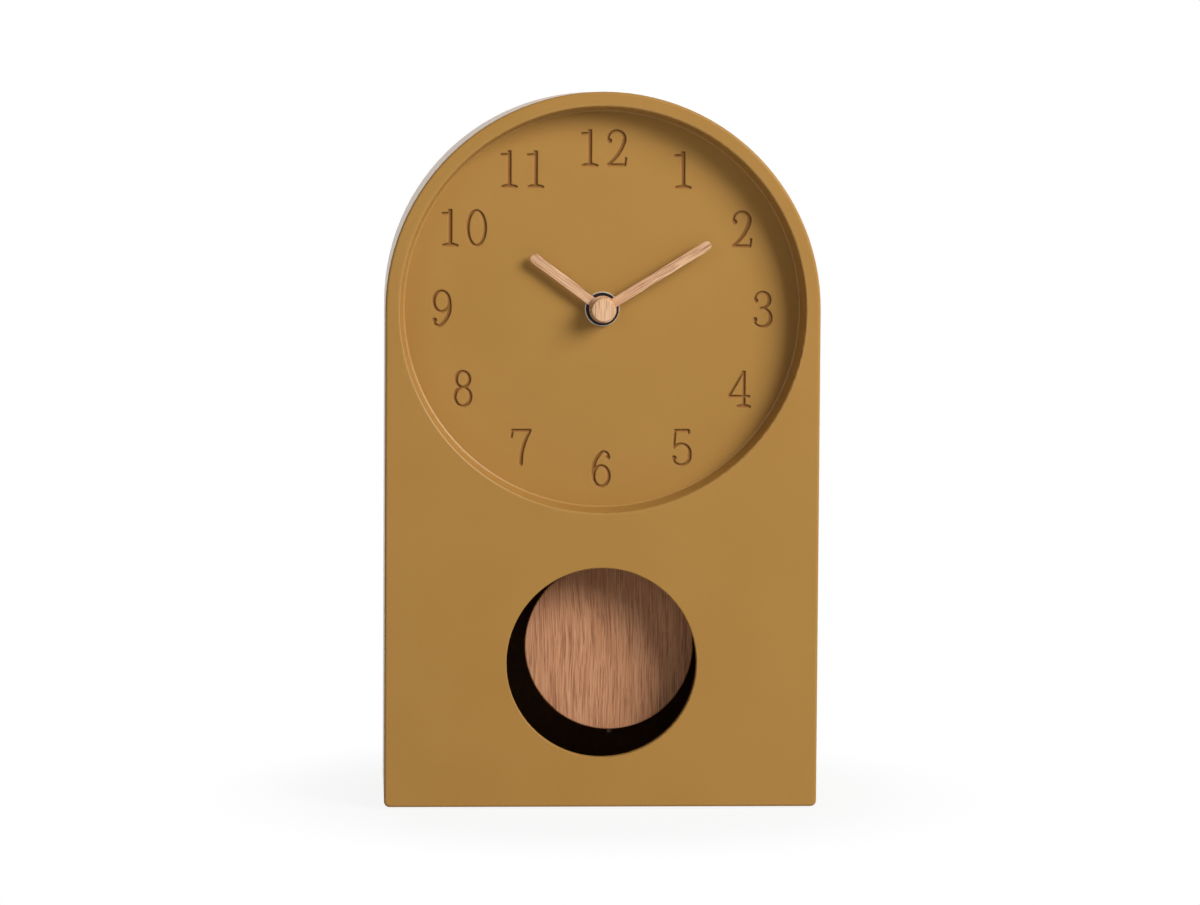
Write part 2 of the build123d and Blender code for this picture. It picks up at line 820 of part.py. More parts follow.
# Rear half of the movement housing with the battery bay, open at the back
with BuildPart() as movement_rear_housing:
    with BuildSketch(behind(housing_joint)):
        with Locations(housing_middle):
            RectangleRounded(housing_width, housing_height, housing_corner)
    extrude(amount=-(housing_back - housing_joint))
    with BuildSketch(behind(housing_joint)):
        with Locations(housing_middle):
            RectangleRounded(
                housing_width - 2 * housing_wall,
                housing_height - 2 * housing_wall,
                housing_corner - housing_wall,
            )
    extrude(amount=-(housing_end_inside - housing_joint), mode=Mode.SUBTRACT)
    with BuildSketch(behind(bay_front)):
        with Locations(bay_middle):
            Rectangle(2 * (bay_half_length + bay_end_wall), 2 * (bay_half_height + bay_wall))
    extrude(amount=-(housing_back - bay_front))
    with BuildSketch(behind(bay_bottom)):
        with Locations(bay_middle):
            Rectangle(2 * bay_half_length, 2 * bay_half_height)
    extrude(amount=-(housing_back - bay_bottom), mode=Mode.SUBTRACT)
    with BuildSketch(behind(housing_joint)):
        with Locations(*corner_posts):
            Circle(corner_post_radius)
    extrude(amount=-(housing_back - housing_joint))
    with BuildSketch(behind(housing_joint)):
        with Locations(*corner_posts):
            Circle(housing_screw_radius)
    extrude(amount=-(housing_back - housing_joint), mode=Mode.SUBTRACT)
    with BuildSketch(behind(housing_back)):
        with Locations(from_axis(0, -pivot_drop)):
            Circle(pivot_boss_radius)
    extrude(amount=-pivot_boss)
    with BuildSketch(behind(housing_end_inside)):
        with Locations(from_axis(0, -pivot_drop)):
            Circle(pivot_pin_radius)
        with Locations(setting_place):
            Circle(setting_arbor_radius + running_clearance)
    extrude(amount=-(housing_wall + pivot_boss), mode=Mode.SUBTRACT)

# Screws through both halves of the housing
with BuildPart() as housing_screws:
    with BuildSketch(behind(housing_back)):
        with Locations(*corner_posts):
            Circle(housing_screw_radius)
    extrude(amount=housing_back - housing_inside)
    with BuildSketch(behind(housing_back)):
        with Locations(*corner_posts):
            Circle(housing_screw_head)
    extrude(amount=-screw_head_thickness)
    with BuildSketch(behind(housing_back + screw_head_thickness)):
        with Locations(*corner_posts):
            Rectangle(housing_cross, slot_width)
            Rectangle(slot_width, housing_cross)
    extrude(amount=slot_depth, mode=Mode.SUBTRACT)


def train_wheel(place, teeth, module, layer, pinion_phase, pinion_layer):
    """Arbor of the going train with one wheel and one pinion."""
    with BuildPart() as piece:
        with BuildSketch(behind(bearing_front)):
            with Locations(place):
                Circle(arbor_radius)
        extrude(amount=-(bridge_back - bearing_front))
        with BuildSketch(behind(layer)):
            with Locations(place):
                wheel_teeth(teeth, module, 0)
        extrude(amount=-wheel_thickness)
        with BuildSketch(behind(pinion_layer)):
            with Locations(place):
                pinion_teeth(train_pinion_teeth, train_module, pinion_phase)
        extrude(amount=-(layer - pinion_layer))
    return piece


third_wheel = train_wheel(
    third_place, third_teeth, train_module, third_layer, third_pinion_phase, centre_layer
)
second_wheel = train_wheel(
    second_place, second_teeth, train_module, second_layer, second_pinion_phase, third_layer
)
first_wheel = train_wheel(
    first_place, first_teeth, rotor_module, first_layer, first_pinion_phase, second_layer
)

# Rotor arbor with its pinion
with BuildPart() as rotor:
    with BuildSketch(behind(bearing_front)):
        with Locations(rotor_place):
            Circle(rotor_arbor_radius)
    extrude(amount=-(bridge_back - bearing_front))
    with BuildSketch(behind(first_layer)):
        with Locations(rotor_place):
            pinion_teeth(train_pinion_teeth, rotor_module, rotor_pinion_phase)
    extrude(amount=-wheel_thickness)

# Magnet on the rotor arbor
with BuildPart() as rotor_magnet:
    with BuildSketch(behind(magnet_layer)):
        with Locations(rotor_place):
            Circle(magnet_radius)
            Circle(rotor_arbor_radius, mode=Mode.SUBTRACT)
    extrude(amount=-magnet_length)

# Centre wheel, driven by the train and slipping on the minute shaft
with BuildPart() as centre_wheel:
    with BuildSketch(behind(centre_layer)):
        with Locations(centre_place):
            wheel_teeth(centre_teeth, train_module, 0)
            Circle(clutch_seat_radius + running_clearance, mode=Mode.SUBTRACT)
    extrude(amount=-wheel_thickness)

# Minute shaft with the cannon pinion
clutch_back = centre_layer + wheel_thickness + running_clearance
clutch_thickness = layer_gap - 2 * running_clearance
with BuildPart() as minute_shaft:
    with BuildSketch(behind(shaft_front)):
        with Locations(centre_place):
            Circle(minute_shaft_radius)
    extrude(amount=-(minute_layer - shaft_front))
    with BuildSketch(behind(minute_layer)):
        with Locations(centre_place):
            pinion_teeth(cannon_teeth, motion_module, cannon_phase)
    extrude(amount=-motion_thickness)
    with BuildSketch(behind(minute_layer)):
        with Locations(centre_place):
            Circle(clutch_seat_radius)
    extrude(amount=-(clutch_back + clutch_thickness - minute_layer))
    with BuildSketch(behind(minute_layer)):
        with Locations(centre_place):
            Circle(rear_pivot_radius)
    extrude(amount=-(bridge_back - minute_layer))

# Clutch washer behind the centre wheel
with BuildPart() as clutch_washer:
    with BuildSketch(behind(clutch_back)):
        with Locations(centre_place):
            Circle(clutch_washer_radius)
            Circle(clutch_seat_radius, mode=Mode.SUBTRACT)
    extrude(amount=-clutch_thickness)

# Minute wheel with the pinion that drives the hour wheel
with BuildPart() as minute_wheel:
    with BuildSketch(behind(bearing_front)):
        with Locations(minute_place):
            Circle(minute_arbor_radius)
    extrude(amount=-(bridge_back - bearing_front))
    with BuildSketch(behind(minute_layer)):
        with Locations(minute_place):
            wheel_teeth(minute_teeth, motion_module, 0)
    extrude(amount=-motion_thickness)
    with BuildSketch(behind(hour_layer)):
        with Locations(minute_place):
            pinion_teeth(minute_pinion_teeth, hour_module, minute_pinion_phase)
    extrude(amount=-(minute_layer - hour_layer))

# Hour wheel with its tube
with BuildPart() as hour_wheel:
    with BuildSketch(behind(hour_layer)):
        with Locations(centre_place):
            wheel_teeth(hour_teeth, hour_module, 0)
    extrude(amount=-motion_thickness)
    with BuildSketch(behind(tube_front)):
        with Locations(centre_place):
            Circle(tube_radius)
    extrude(amount=-(hour_layer - tube_front))
    with BuildSketch(behind(tube_front)):
        with Locations(centre_place):
            Circle(minute_shaft_radius + running_clearance)
    extrude(amount=-(hour_layer + motion_thickness - tube_front), mode=Mode.SUBTRACT)

# Setting arbor with its pinion
knob_front = housing_back + knob_gap
with BuildPart() as setting_arbor:
    with BuildSketch(behind(bearing_front)):
        with Locations(setting_place):
            Circle(setting_arbor_radius)
    extrude(amount=-(knob_front + knob_bore_depth - bearing_front))
    with BuildSketch(behind(minute_layer)):
        with Locations(setting_place):
            pinion_teeth(cannon_teeth, motion_module, setting_phase)
    extrude(amount=-motion_thickness)

# Fluted setting knob at the back
with BuildPart() as setting_knob:
    with BuildSketch(behind(knob_front)):
        with Locations(setting_place):
            Circle(knob_radius)
            with PolarLocations(knob_radius, knob_flutes):
                Circle(knob_flute_radius, mode=Mode.SUBTRACT)
    extrude(amount=-knob_length)
    with BuildSketch(behind(knob_front)):
        with Locations(setting_place):
            Circle(setting_arbor_radius)
    extrude(amount=-knob_bore_depth, mode=Mode.SUBTRACT)

# Bridge: strips from post to post over the rear pivots of the train
bridge_paths = [
    (bridge_posts[0], second_place),
    (second_place, third_place),
    (third_place, bridge_posts[1]),
    (second_place, first_place),
    (first_place, rotor_place),
    (bridge_posts[1], minute_place),
    (minute_place, centre_place),
    (centre_place, bridge_posts[2]),
]
with BuildPart() as train_bridge:
    with BuildSketch(behind(bridge_layer)):
        for start, end in bridge_paths:
            with BuildLine():
                Line(start, end)
            trace(line_width=bridge_strip)
        with Locations(*bridge_posts, centre_place, *[place for place, radius in bearings]):
            Circle(bridge_strip / 2)
        with Locations(*bridge_posts):
            Circle(bridge_screw_radius, mode=Mode.SUBTRACT)
        for place, radius in bearings + [(centre_place, rear_pivot_radius)]:
            with Locations(place):
                Circle(radius + running_clearance, mode=Mode.SUBTRACT)
    extrude(amount=-bridge_thickness)

# Screws of the bridge
with BuildPart() as bridge_screws:
    with BuildSketch(behind(bridge_back)):
        with Locations(*bridge_posts):
            Circle(bridge_screw_radius)
    extrude(amount=bridge_screw_length)
    with BuildSketch(behind(bridge_back)):
        with Locations(*bridge_posts):
            Circle(bridge_screw_head)
    extrude(amount=-screw_head_thickness)
    with BuildSketch(behind(bridge_back + screw_head_thickness)):
        with Locations(*bridge_posts):
            Rectangle(2 * bridge_screw_head, slot_width)
    extrude(amount=slot_depth, mode=Mode.SUBTRACT)

# Stator: loop of sheet iron round the rotor, its lower bar is the core of the coil
stator_corners = [(-coil_far_end, rotor_place[1]), (-coil_near_end, rotor_place[1])]
stator_paths = [stator_corners, *zip(stator_corners, stator_posts)]
with BuildPart() as stator:
    with BuildSketch(behind(stator_layer)):
        for start, end in stator_paths:
            with BuildLine():
                Line(start, end)
            trace(line_width=stator_strip)
        with BuildLine():
            Line(*stator_posts)
        trace(line_width=core_height)
        with Locations(*stator_posts, *stator_corners):
            Circle(stator_strip / 2)
        with Locations(rotor_place):
            Circle(stator_ring_radius)
            Circle(magnet_radius + rotor_air_gap, mode=Mode.SUBTRACT)
        with Locations(*stator_posts):
            Circle(stake_radius, mode=Mode.SUBTRACT)
    extrude(amount=-stator_thickness)

# Coil former and winding on the core bar, both turned along X
coil_middle_x = -(coil_far_end + coil_near_end) / 2
bobbin_length = coil_far_end - coil_near_end - 2 * bobbin_end_gap
coil_y = stator_layer + stator_thickness / 2 - case_depth / 2
bobbin_plane = Plane(
    origin=(coil_middle_x - bobbin_length / 2, coil_y, axis_z - coil_drop),
    x_dir=(0, 1, 0),
    z_dir=(1, 0, 0),
)
with BuildPart() as coil_bobbin:
    with BuildSketch(bobbin_plane):
        Circle(bobbin_flange_radius)
    extrude(amount=bobbin_flange)
    with BuildSketch(bobbin_plane.offset(bobbin_length - bobbin_flange)):
        Circle(bobbin_flange_radius)
    extrude(amount=bobbin_flange)
    with BuildSketch(bobbin_plane):
        Circle(bobbin_core_radius)
    extrude(amount=bobbin_length)
    with BuildSketch(bobbin_plane):
        Rectangle(stator_thickness, core_height)
    extrude(amount=bobbin_length, mode=Mode.SUBTRACT)

with BuildPart() as coil_winding:
    with BuildSketch(bobbin_plane.offset(bobbin_flange)):
        Circle(winding_radius)
        Circle(bobbin_core_radius, mode=Mode.SUBTRACT)
    extrude(amount=bobbin_length - 2 * bobbin_flange)

# Circuit board with the crystal can and the chip under its drop of resin
with BuildPart() as circuit_board:
    with BuildSketch(behind(stator_layer)):
        with Locations(board_post):
            Rectangle(board_width, board_height)
            Circle(stake_radius, mode=Mode.SUBTRACT)
    extrude(amount=-board_thickness)

board_back_y = stator_layer + board_thickness - case_depth / 2
crystal_x = board_post[0] + board_width / 2 - crystal_inset
with BuildPart() as quartz_crystal:
    with BuildSketch(Plane.XY.offset(board_post[1] - crystal_length / 2)):
        with Locations((crystal_x, board_back_y + crystal_radius)):
            Circle(crystal_radius)
    extrude(amount=crystal_length)

with BuildPart() as driver_chip:
    with BuildSketch(behind(stator_layer + board_thickness)):
        with Locations((board_post[0] - chip_offset, board_post[1] - chip_offset)):
            Circle(chip_radius)
    extrude(amount=-chip_thickness)
    fillet(driver_chip.faces().sort_by(Axis.Y)[-1].edges(), chip_edge_radius)

# AA battery, lying across the bay, plus end towards +X
battery_plane = Plane(
    origin=(-(battery_length + battery_nub) / 2, battery_depth - case_depth / 2, bay_middle[1]),
    x_dir=(0, 1, 0),
    z_dir=(1, 0, 0),
)
with BuildPart() as aa_battery:
    with BuildSketch(battery_plane):
        Circle(battery_radius)
    extrude(amount=battery_length)
    with BuildSketch(battery_plane.offset(battery_length)):
        Circle(battery_nub_radius)
    extrude(amount=battery_nub)

# Battery contacts: a bowed leaf at the minus end, a flat strip with a raised pad at the plus end
battery_end = (battery_length + battery_nub) / 2 + contact_touch
leaf_y = battery_depth - case_depth / 2
leaf_wall = bay_half_length - contact_thickness / 2
with BuildPart() as negative_contact:
    with BuildSketch(Plane.XY.offset(bay_middle[1] - contact_height / 2)):
        with BuildLine():
            Line((-leaf_wall, leaf_y - contact_width / 2), (-leaf_wall, leaf_y + contact_width / 2))
        trace(line_width=contact_thickness)
        with BuildLine():
            ThreePointArc(
                (-leaf_wall, leaf_y - contact_width / 2 + contact_thickness),
                (-battery_end - contact_thickness / 2, leaf_y),
                (-leaf_wall, leaf_y + contact_width / 2 - contact_thickness),
            )
        trace(line_width=contact_thickness)
    extrude(amount=contact_height)

with BuildPart() as positive_contact:
    with BuildSketch(Plane.XY.offset(bay_middle[1] - contact_height / 2)):
        with Locations((leaf_wall, leaf_y)):
            Rectangle(contact_thickness, contact_width)
    extrude(amount=contact_height)
    with BuildSketch(Plane.XY.offset(bay_middle[1] - contact_pad / 2)):
        with Locations((battery_end, leaf_y)):
            Rectangle(leaf_wall - battery_end, contact_pad, align=(Align.MIN, Align.CENTER))
    extrude(amount=contact_pad)

# Drive coil of the pendulum, on its peg behind the battery bay
drive_coil_front = housing_inside + drive_coil_standoff
drive_coil_back = housing_end_inside - drive_coil_end_gap
with BuildPart() as drive_coil_bobbin:
    with BuildSketch(behind(drive_coil_front)):
        with Locations(drive_coil_place):
            Circle(drive_coil_radius)
    extrude(amount=-drive_coil_flange)
    with BuildSketch(behind(drive_coil_back)):
        with Locations(drive_coil_place):
            Circle(drive_coil_radius)
    extrude(amount=drive_coil_flange)
    with BuildSketch(behind(drive_coil_front)):
        with Locations(drive_coil_place):
            Circle(drive_coil_core)
    extrude(amount=-(drive_coil_back - drive_coil_front))
    with BuildSketch(behind(drive_coil_front)):
        with Locations(drive_coil_place):
            Circle(drive_coil_bore)
    extrude(amount=-(drive_coil_back - drive_coil_front), mode=Mode.SUBTRACT)

with BuildPart() as drive_coil_winding:
    with BuildSketch(behind(drive_coil_front + drive_coil_flange)):
        with Locations(drive_coil_place):
            Circle(drive_coil_radius - drive_coil_flange)
            Circle(drive_coil_core, mode=Mode.SUBTRACT)
    extrude(amount=-(drive_coil_back - drive_coil_front - 2 * drive_coil_flange))


def hand(length, width, front, bore, angle):
    """Straight hand with a round tip and a round hub, pressed on its arbor."""
    with BuildPart() as piece:
        with BuildSketch(behind(front)):
            with Locations(Location((*centre_place, 0), (0, 0, -angle))):
                Rectangle(width, length - width / 2, align=(Align.CENTER, Align.MIN))
                with Locations((0, length - width / 2)):
                    Circle(width / 2)
                Circle(hub_radius)
                Circle(bore, mode=Mode.SUBTRACT)
        extrude(amount=-hand_thickness)
    return piece


hour_hand = hand(hour_hand_length, hour_hand_width, hour_hand_front, tube_radius, hour_angle)
minute_hand = hand(
    minute_hand_length, minute_hand_width, minute_hand_front, minute_shaft_radius, minute_angle
)

# Wooden cap over the end of the minute shaft
with BuildPart() as hand_cap:
    with BuildSketch(behind(cap_front)):
        with Locations(centre_place):
            Circle(cap_radius)
    extrude(amount=-cap_height)
    fillet(hand_cap.faces().sort_by(Axis.Y)[0].edges(), cap_edge_radius)
    with BuildSketch(behind(minute_hand_front)):
        with Locations(centre_place):
            Circle(minute_shaft_radius)
    extrude(amount=minute_hand_front - shaft_front, mode=Mode.SUBTRACT)

# Pivot pin of the pendulum and its clip
clip_front = lever_back + lever_end_play
pin_back = clip_front + clip_thickness + pin_proud
with BuildPart() as pivot_pin:
    with BuildSketch(behind(housing_end_inside)):
        with Locations((0, pivot_z)):
            Circle(pivot_pin_radius)
    extrude(amount=-(pin_back - housing_end_inside))

with BuildPart() as pivot_clip:
    with BuildSketch(behind(clip_front)):
        with Locations((0, pivot_z)):
            Circle(clip_radius)
            Circle(pivot_pin_radius, mode=Mode.SUBTRACT)
    extrude(amount=-clip_thickness)

# Swing lever with the hub on the pin and a peg for the rod
with BuildPart() as pendulum_lever:
    with BuildSketch(on_pendulum(lever_front)):
        Circle(lever_hub_radius)
        Rectangle(lever_width, peg_drop, align=(Align.CENTER, Align.MAX))
        with Locations((0, -peg_drop)):
            Circle(lever_width / 2)
    extrude(amount=-lever_thickness)
    with BuildSketch(on_pendulum(lever_front)):
        Circle(lever_collar_radius)
    extrude(amount=lever_gap - pivot_boss - lever_end_play)
    with BuildSketch(on_pendulum(lever_back)):
        with Locations((0, -peg_drop)):
            Circle(peg_radius)
    extrude(amount=-peg_length)
    with BuildSketch(on_pendulum(lever_back)):
        Circle(pivot_pin_radius + running_clearance)
    extrude(amount=lever_gap + lever_thickness, mode=Mode.SUBTRACT)

with BuildPart() as drive_magnet:
    with BuildSketch(on_pendulum(lever_front)):
        with Locations((0, -drive_magnet_drop)):
            Circle(drive_magnet_radius)
    extrude(amount=drive_magnet_thickness)

# Slim rod with an eye that hangs on the peg
with BuildPart() as pendulum_rod:
    with BuildSketch(on_pendulum(lever_back)):
        with Locations((0, -peg_drop)):
            Circle(rod_eye_radius)
            Rectangle(
                rod_width,
                pendulum_length + bob_radius + rod_below_bob - peg_drop,
                align=(Align.CENTER, Align.MAX),
            )
            Circle(peg_radius + fit_clearance, mode=Mode.SUBTRACT)
    extrude(amount=-rod_thickness)

# Wooden bob
with BuildPart() as pendulum_bob:
    with BuildSketch(on_pendulum(bob_front)):
        with Locations((0, -pendulum_length)):
            Circle(bob_radius)
    extrude(amount=-bob_thickness)
    fillet(pendulum_bob.edges(), bob_edge_radius)
    with BuildSketch(on_pendulum(bob_back)):
        with Locations(*keeper_spots):
            Circle(keeper_screw_radius)
    extrude(amount=keeper_screw_depth, mode=Mode.SUBTRACT)

# Keeper on the rod, a moulded standoff that holds the bob close behind the window
keeper_back = rod_back + keeper_thickness
with BuildPart() as bob_keeper:
    with BuildSketch(on_pendulum(bob_back)):
        with Locations((0, -pendulum_length)):
            Rectangle(keeper_length, keeper_height)
        with Locations(*keeper_spots):
            Circle(keeper_screw_radius, mode=Mode.SUBTRACT)
    extrude(amount=-(keeper_back - bob_back))
    with BuildSketch(on_pendulum(lever_back)):
        with Locations((0, -pendulum_length)):
            Rectangle(rod_width + running_clearance, keeper_height)
    extrude(amount=-rod_thickness, mode=Mode.SUBTRACT)

with BuildPart() as keeper_screws:
    with BuildSketch(on_pendulum(keeper_back)):
        with Locations(*keeper_spots):
            Circle(keeper_screw_radius)
    extrude(amount=keeper_screw_depth + keeper_back - bob_back)
    with BuildSketch(on_pendulum(keeper_back)):
        with Locations(*keeper_spots):
            Circle(keeper_screw_head)
    extrude(amount=-screw_head_thickness)
    with BuildSketch(on_pendulum(keeper_back + screw_head_thickness)):
        with Locations(*keeper_spots):
            Rectangle(2 * keeper_screw_head, slot_width)
    extrude(amount=slot_depth, mode=Mode.SUBTRACT)

pieces = {
    "front_case": front_case,
    "dial": dial,
    "back_cover": back_cover,
    "cover_screws": cover_screws,
    "feet": feet,
    "movement_front_housing": movement_front_housing,
    "movement_rear_housing": movement_rear_housing,
    "housing_screws": housing_screws,
    "threaded_bushing": threaded_bushing,
    "dial_gasket": dial_gasket,
    "nut_washer": nut_washer,
    "mounting_nut": mounting_nut,
    "aa_battery": aa_battery,
    "negative_contact": negative_contact,
    "positive_contact": positive_contact,
    "circuit_board": circuit_board,
    "quartz_crystal": quartz_crystal,
    "driver_chip": driver_chip,
    "stator": stator,
    "coil_bobbin": coil_bobbin,
    "coil_winding": coil_winding,
    "rotor": rotor,
    "rotor_magnet": rotor_magnet,
    "first_wheel": first_wheel,
    "second_wheel": second_wheel,
    "third_wheel": third_wheel,
    "centre_wheel": centre_wheel,
    "minute_shaft": minute_shaft,
    "clutch_washer": clutch_washer,
    "minute_wheel": minute_wheel,
    "hour_wheel": hour_wheel,
    "setting_arbor": setting_arbor,
    "setting_knob": setting_knob,
    "train_bridge": train_bridge,
    "bridge_screws": bridge_screws,
    "hour_hand": hour_hand,
    "minute_hand": minute_hand,
    "hand_cap": hand_cap,
    "drive_coil_bobbin": drive_coil_bobbin,
    "drive_coil_winding": drive_coil_winding,
    "pivot_pin": pivot_pin,
    "pivot_clip": pivot_clip,
    "pendulum_lever": pendulum_lever,
    "drive_magnet": drive_magnet,
    "pendulum_rod": pendulum_rod,
    "pendulum_bob": pendulum_bob,
    "bob_keeper": bob_keeper,
    "keeper_screws": keeper_screws,
}
os.makedirs("parts", exist_ok=True)
for label, piece in pieces.items():
    piece.part.label = label
    export_step(piece.part, f"parts/{label}.step")
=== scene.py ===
from math import cos, pi, radians, sin

import bmesh
import bpy
from bpy.props import FloatProperty, FloatVectorProperty, IntProperty, PointerProperty
from mathutils import Matrix, Vector


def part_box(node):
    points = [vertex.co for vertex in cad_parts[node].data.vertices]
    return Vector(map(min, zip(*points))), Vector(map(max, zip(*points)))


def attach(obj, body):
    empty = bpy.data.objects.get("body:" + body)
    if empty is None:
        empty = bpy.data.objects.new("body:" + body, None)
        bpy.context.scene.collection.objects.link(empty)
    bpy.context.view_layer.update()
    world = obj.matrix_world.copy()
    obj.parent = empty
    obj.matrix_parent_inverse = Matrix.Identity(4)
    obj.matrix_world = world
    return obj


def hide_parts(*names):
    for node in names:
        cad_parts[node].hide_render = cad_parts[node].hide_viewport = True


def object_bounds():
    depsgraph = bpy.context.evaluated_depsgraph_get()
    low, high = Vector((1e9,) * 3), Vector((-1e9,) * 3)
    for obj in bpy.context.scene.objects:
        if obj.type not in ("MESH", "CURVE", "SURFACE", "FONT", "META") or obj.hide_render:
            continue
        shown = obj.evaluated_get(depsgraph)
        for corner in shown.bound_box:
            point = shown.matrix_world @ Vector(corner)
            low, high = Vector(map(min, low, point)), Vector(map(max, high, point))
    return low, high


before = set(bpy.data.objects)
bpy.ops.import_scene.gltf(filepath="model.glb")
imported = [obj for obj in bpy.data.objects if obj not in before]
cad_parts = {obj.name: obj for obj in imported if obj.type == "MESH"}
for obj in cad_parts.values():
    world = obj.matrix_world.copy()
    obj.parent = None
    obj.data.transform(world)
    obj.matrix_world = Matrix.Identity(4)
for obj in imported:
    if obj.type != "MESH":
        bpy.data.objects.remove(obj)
cad_low, cad_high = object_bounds()

bl_info = {
    "name": "Desk pendulum clock",
    "version": (1, 0, 0),
    "blender": (4, 5, 0),
    "location": "View3D > Sidebar > Clock",
    "description": "Finishes, windings and stage of an arch-topped desk clock with a pendulum",
    "category": "Object",
}

MM = 0.001
# Turn, clockwise from twelve, of what runs or lies straight up.
UPRIGHT = 0.0
# Direction of the key light across the dial, up and a little right. Engraved strokes get painted light, a
# paler brown, where their rounded walls face it, and painted shade, a darker brown, where they face away.
PAINTED_LIGHT_SIDE = (0.6, 0.0, 0.8)
# Height of the moulded grain on case and dial.
MOULD_BUMP = 0.012 * MM
# Places that a rounded edge is averaged from.
EDGE_SAMPLES = 4
# Rings of a winding from one turn of its wire to the next.
RINGS_PER_TURN = 4


def shade(red, green, blue):
    """Colour as it is seen on a screen, 0 to 255, turned into the linear values that shaders use."""
    parts = [part / 255 for part in (red, green, blue)]
    return tuple(p / 12.92 if p <= 0.04045 else ((p + 0.055) / 1.055) ** 2.4 for p in parts)


def dim(colour, share):
    """Colour at a share of its brightness."""
    return tuple(share * part for part in colour)


def colour_property(name, description, default):
    """Colour that a user can change."""
    return FloatVectorProperty(
        name=name, description=description, default=default, subtype="COLOR", size=3, min=0, max=1
    )


def length_property(name, description, default):
    """Length in metres that a user can change."""
    return FloatProperty(
        name=name, description=description, default=default, subtype="DISTANCE", unit="LENGTH", precision=5
    )


def angle_property(name, description, default):
    """Angle that a user can change, given in degrees."""
    return FloatProperty(
        name=name, description=description, default=radians(default), subtype="ANGLE", unit="ROTATION"
    )


def share_property(name, description, default):
    """Share between nought and one."""
    return FloatProperty(
        name=name, description=description, default=default, subtype="FACTOR", min=0, max=1
    )


def number_property(name, description, default):
    """Plain number above nought."""
    return FloatProperty(name=name, description=description, default=default, min=0)


class CaseLook(bpy.types.PropertyGroup):
    """Moulded case and dial."""

    colour: colour_property("Colour", "Mustard of the moulded case", shade(165, 123, 62))
    cloud: colour_property("Cloud", "Slightly paler mustard in drifts on large faces", shade(167, 125, 64))
    # Painted shade and painted light of the engraved strokes: the darker brown goes where a stroke's wall
    # faces away from the key light, the paler brown where it faces it.
    groove_shade: colour_property("Groove", "Brown on the upper flank of engraved strokes", shade(92, 56, 15))
    flank: colour_property("Flank", "Paler brown on the lower flank of the strokes", shade(176, 122, 66))
    # Darker mustard for the inner surfaces of the case: painted shade for the inside of the case.
    inside: colour_property("Inside", "Shaded inside of the case", shade(146, 104, 48))
    roughness: share_property("Roughness", "Matt finish of the mould", 0.42)
    grain: length_property("Grain", "Size of the fine moulded grain", 0.35 * MM)
    edge: length_property("Edge", "Rounding that moulded edges show", 0.25 * MM)
    lip: length_property("Lip", "Rounding that the engraved numerals show", 0.7 * MM)
    polish: share_property("Polish", "Sheen of the outer sides", 0.8)
    wall_polish: share_property("Wall polish", "Sheen of the wall round the dial", 0.3)
    sheen: share_property("Sheen roughness", "How soft the reflections of the sheen are", 0.34)


class WoodLook(bpy.types.PropertyGroup):
    """Oak of hands, cap and bob."""

    pale: colour_property("Pale", "Pale wood of hands and cap", shade(230, 190, 150))
    vein: colour_property("Vein", "Darker growth bands of hands and cap", shade(186, 136, 100))
    bob_pale: colour_property("Bob pale", "Pale wood of the bob", shade(206, 152, 113))
    bob_vein: colour_property("Bob vein", "Darker growth bands of the bob", shade(174, 119, 84))
    pore: colour_property("Pore", "Dark pores along the grain", shade(128, 82, 54))
    minute_turn: angle_property("Minute hand", "Grain of the minute hand, clockwise from twelve", 58.2)
    hour_turn: angle_property("Hour hand", "Grain of the hour hand, clockwise from twelve", 306.6)
    sway: length_property("Sway", "How far the growth bands sway to the side", 4 * MM)
    edge: length_property("Edge", "Rounding that sanded edges show", 0.2 * MM)


class MovementLook(bpy.types.PropertyGroup):
    """Movement, battery and metal pieces."""

    black: colour_property("Black", "Black moulded plastic", shade(32, 24, 17))
    acetal: colour_property("Acetal", "Natural plastic of the wheels", shade(232, 230, 220))
    laminate: colour_property("Laminate", "Solder mask of the circuit board", shade(34, 88, 52))
    track: colour_property("Track", "Copper track under the solder mask", shade(92, 132, 70))
    jacket: colour_property("Jacket", "Body of the battery jacket", shade(46, 58, 78))
    band: colour_property("Band", "Band at the plus end of the battery jacket", shade(190, 138, 74))
    steel: colour_property("Steel", "Plated steel", shade(190, 190, 194))
    # Darker steel for the pendulum rod: painted shade for the rod hanging in the shadow of the bob.
    rod_painted_shade: colour_property("Darkened steel", "Dark steel of the pendulum's rod", shade(112, 98, 86))
    washer: colour_property("Washer", "Dull plating of the washer under the nut", shade(205, 196, 184))
    cover: colour_property("Cover", "Dark brown plastic of the back cover", shade(84, 59, 29))
    brass: colour_property("Brass", "Turned brass", shade(205, 170, 98))
    copper: colour_property("Copper", "Enamelled copper wire", shade(178, 92, 48))
    motor_wire: length_property("Motor wire", "Pitch of the wire on the motor coil", 0.22 * MM)
    drive_wire: length_property("Drive wire", "Pitch of the wire on the drive coil", 0.3 * MM)
    segments: IntProperty(
        name="Segments", description="Corners round one turn of a winding", default=40, min=12
    )


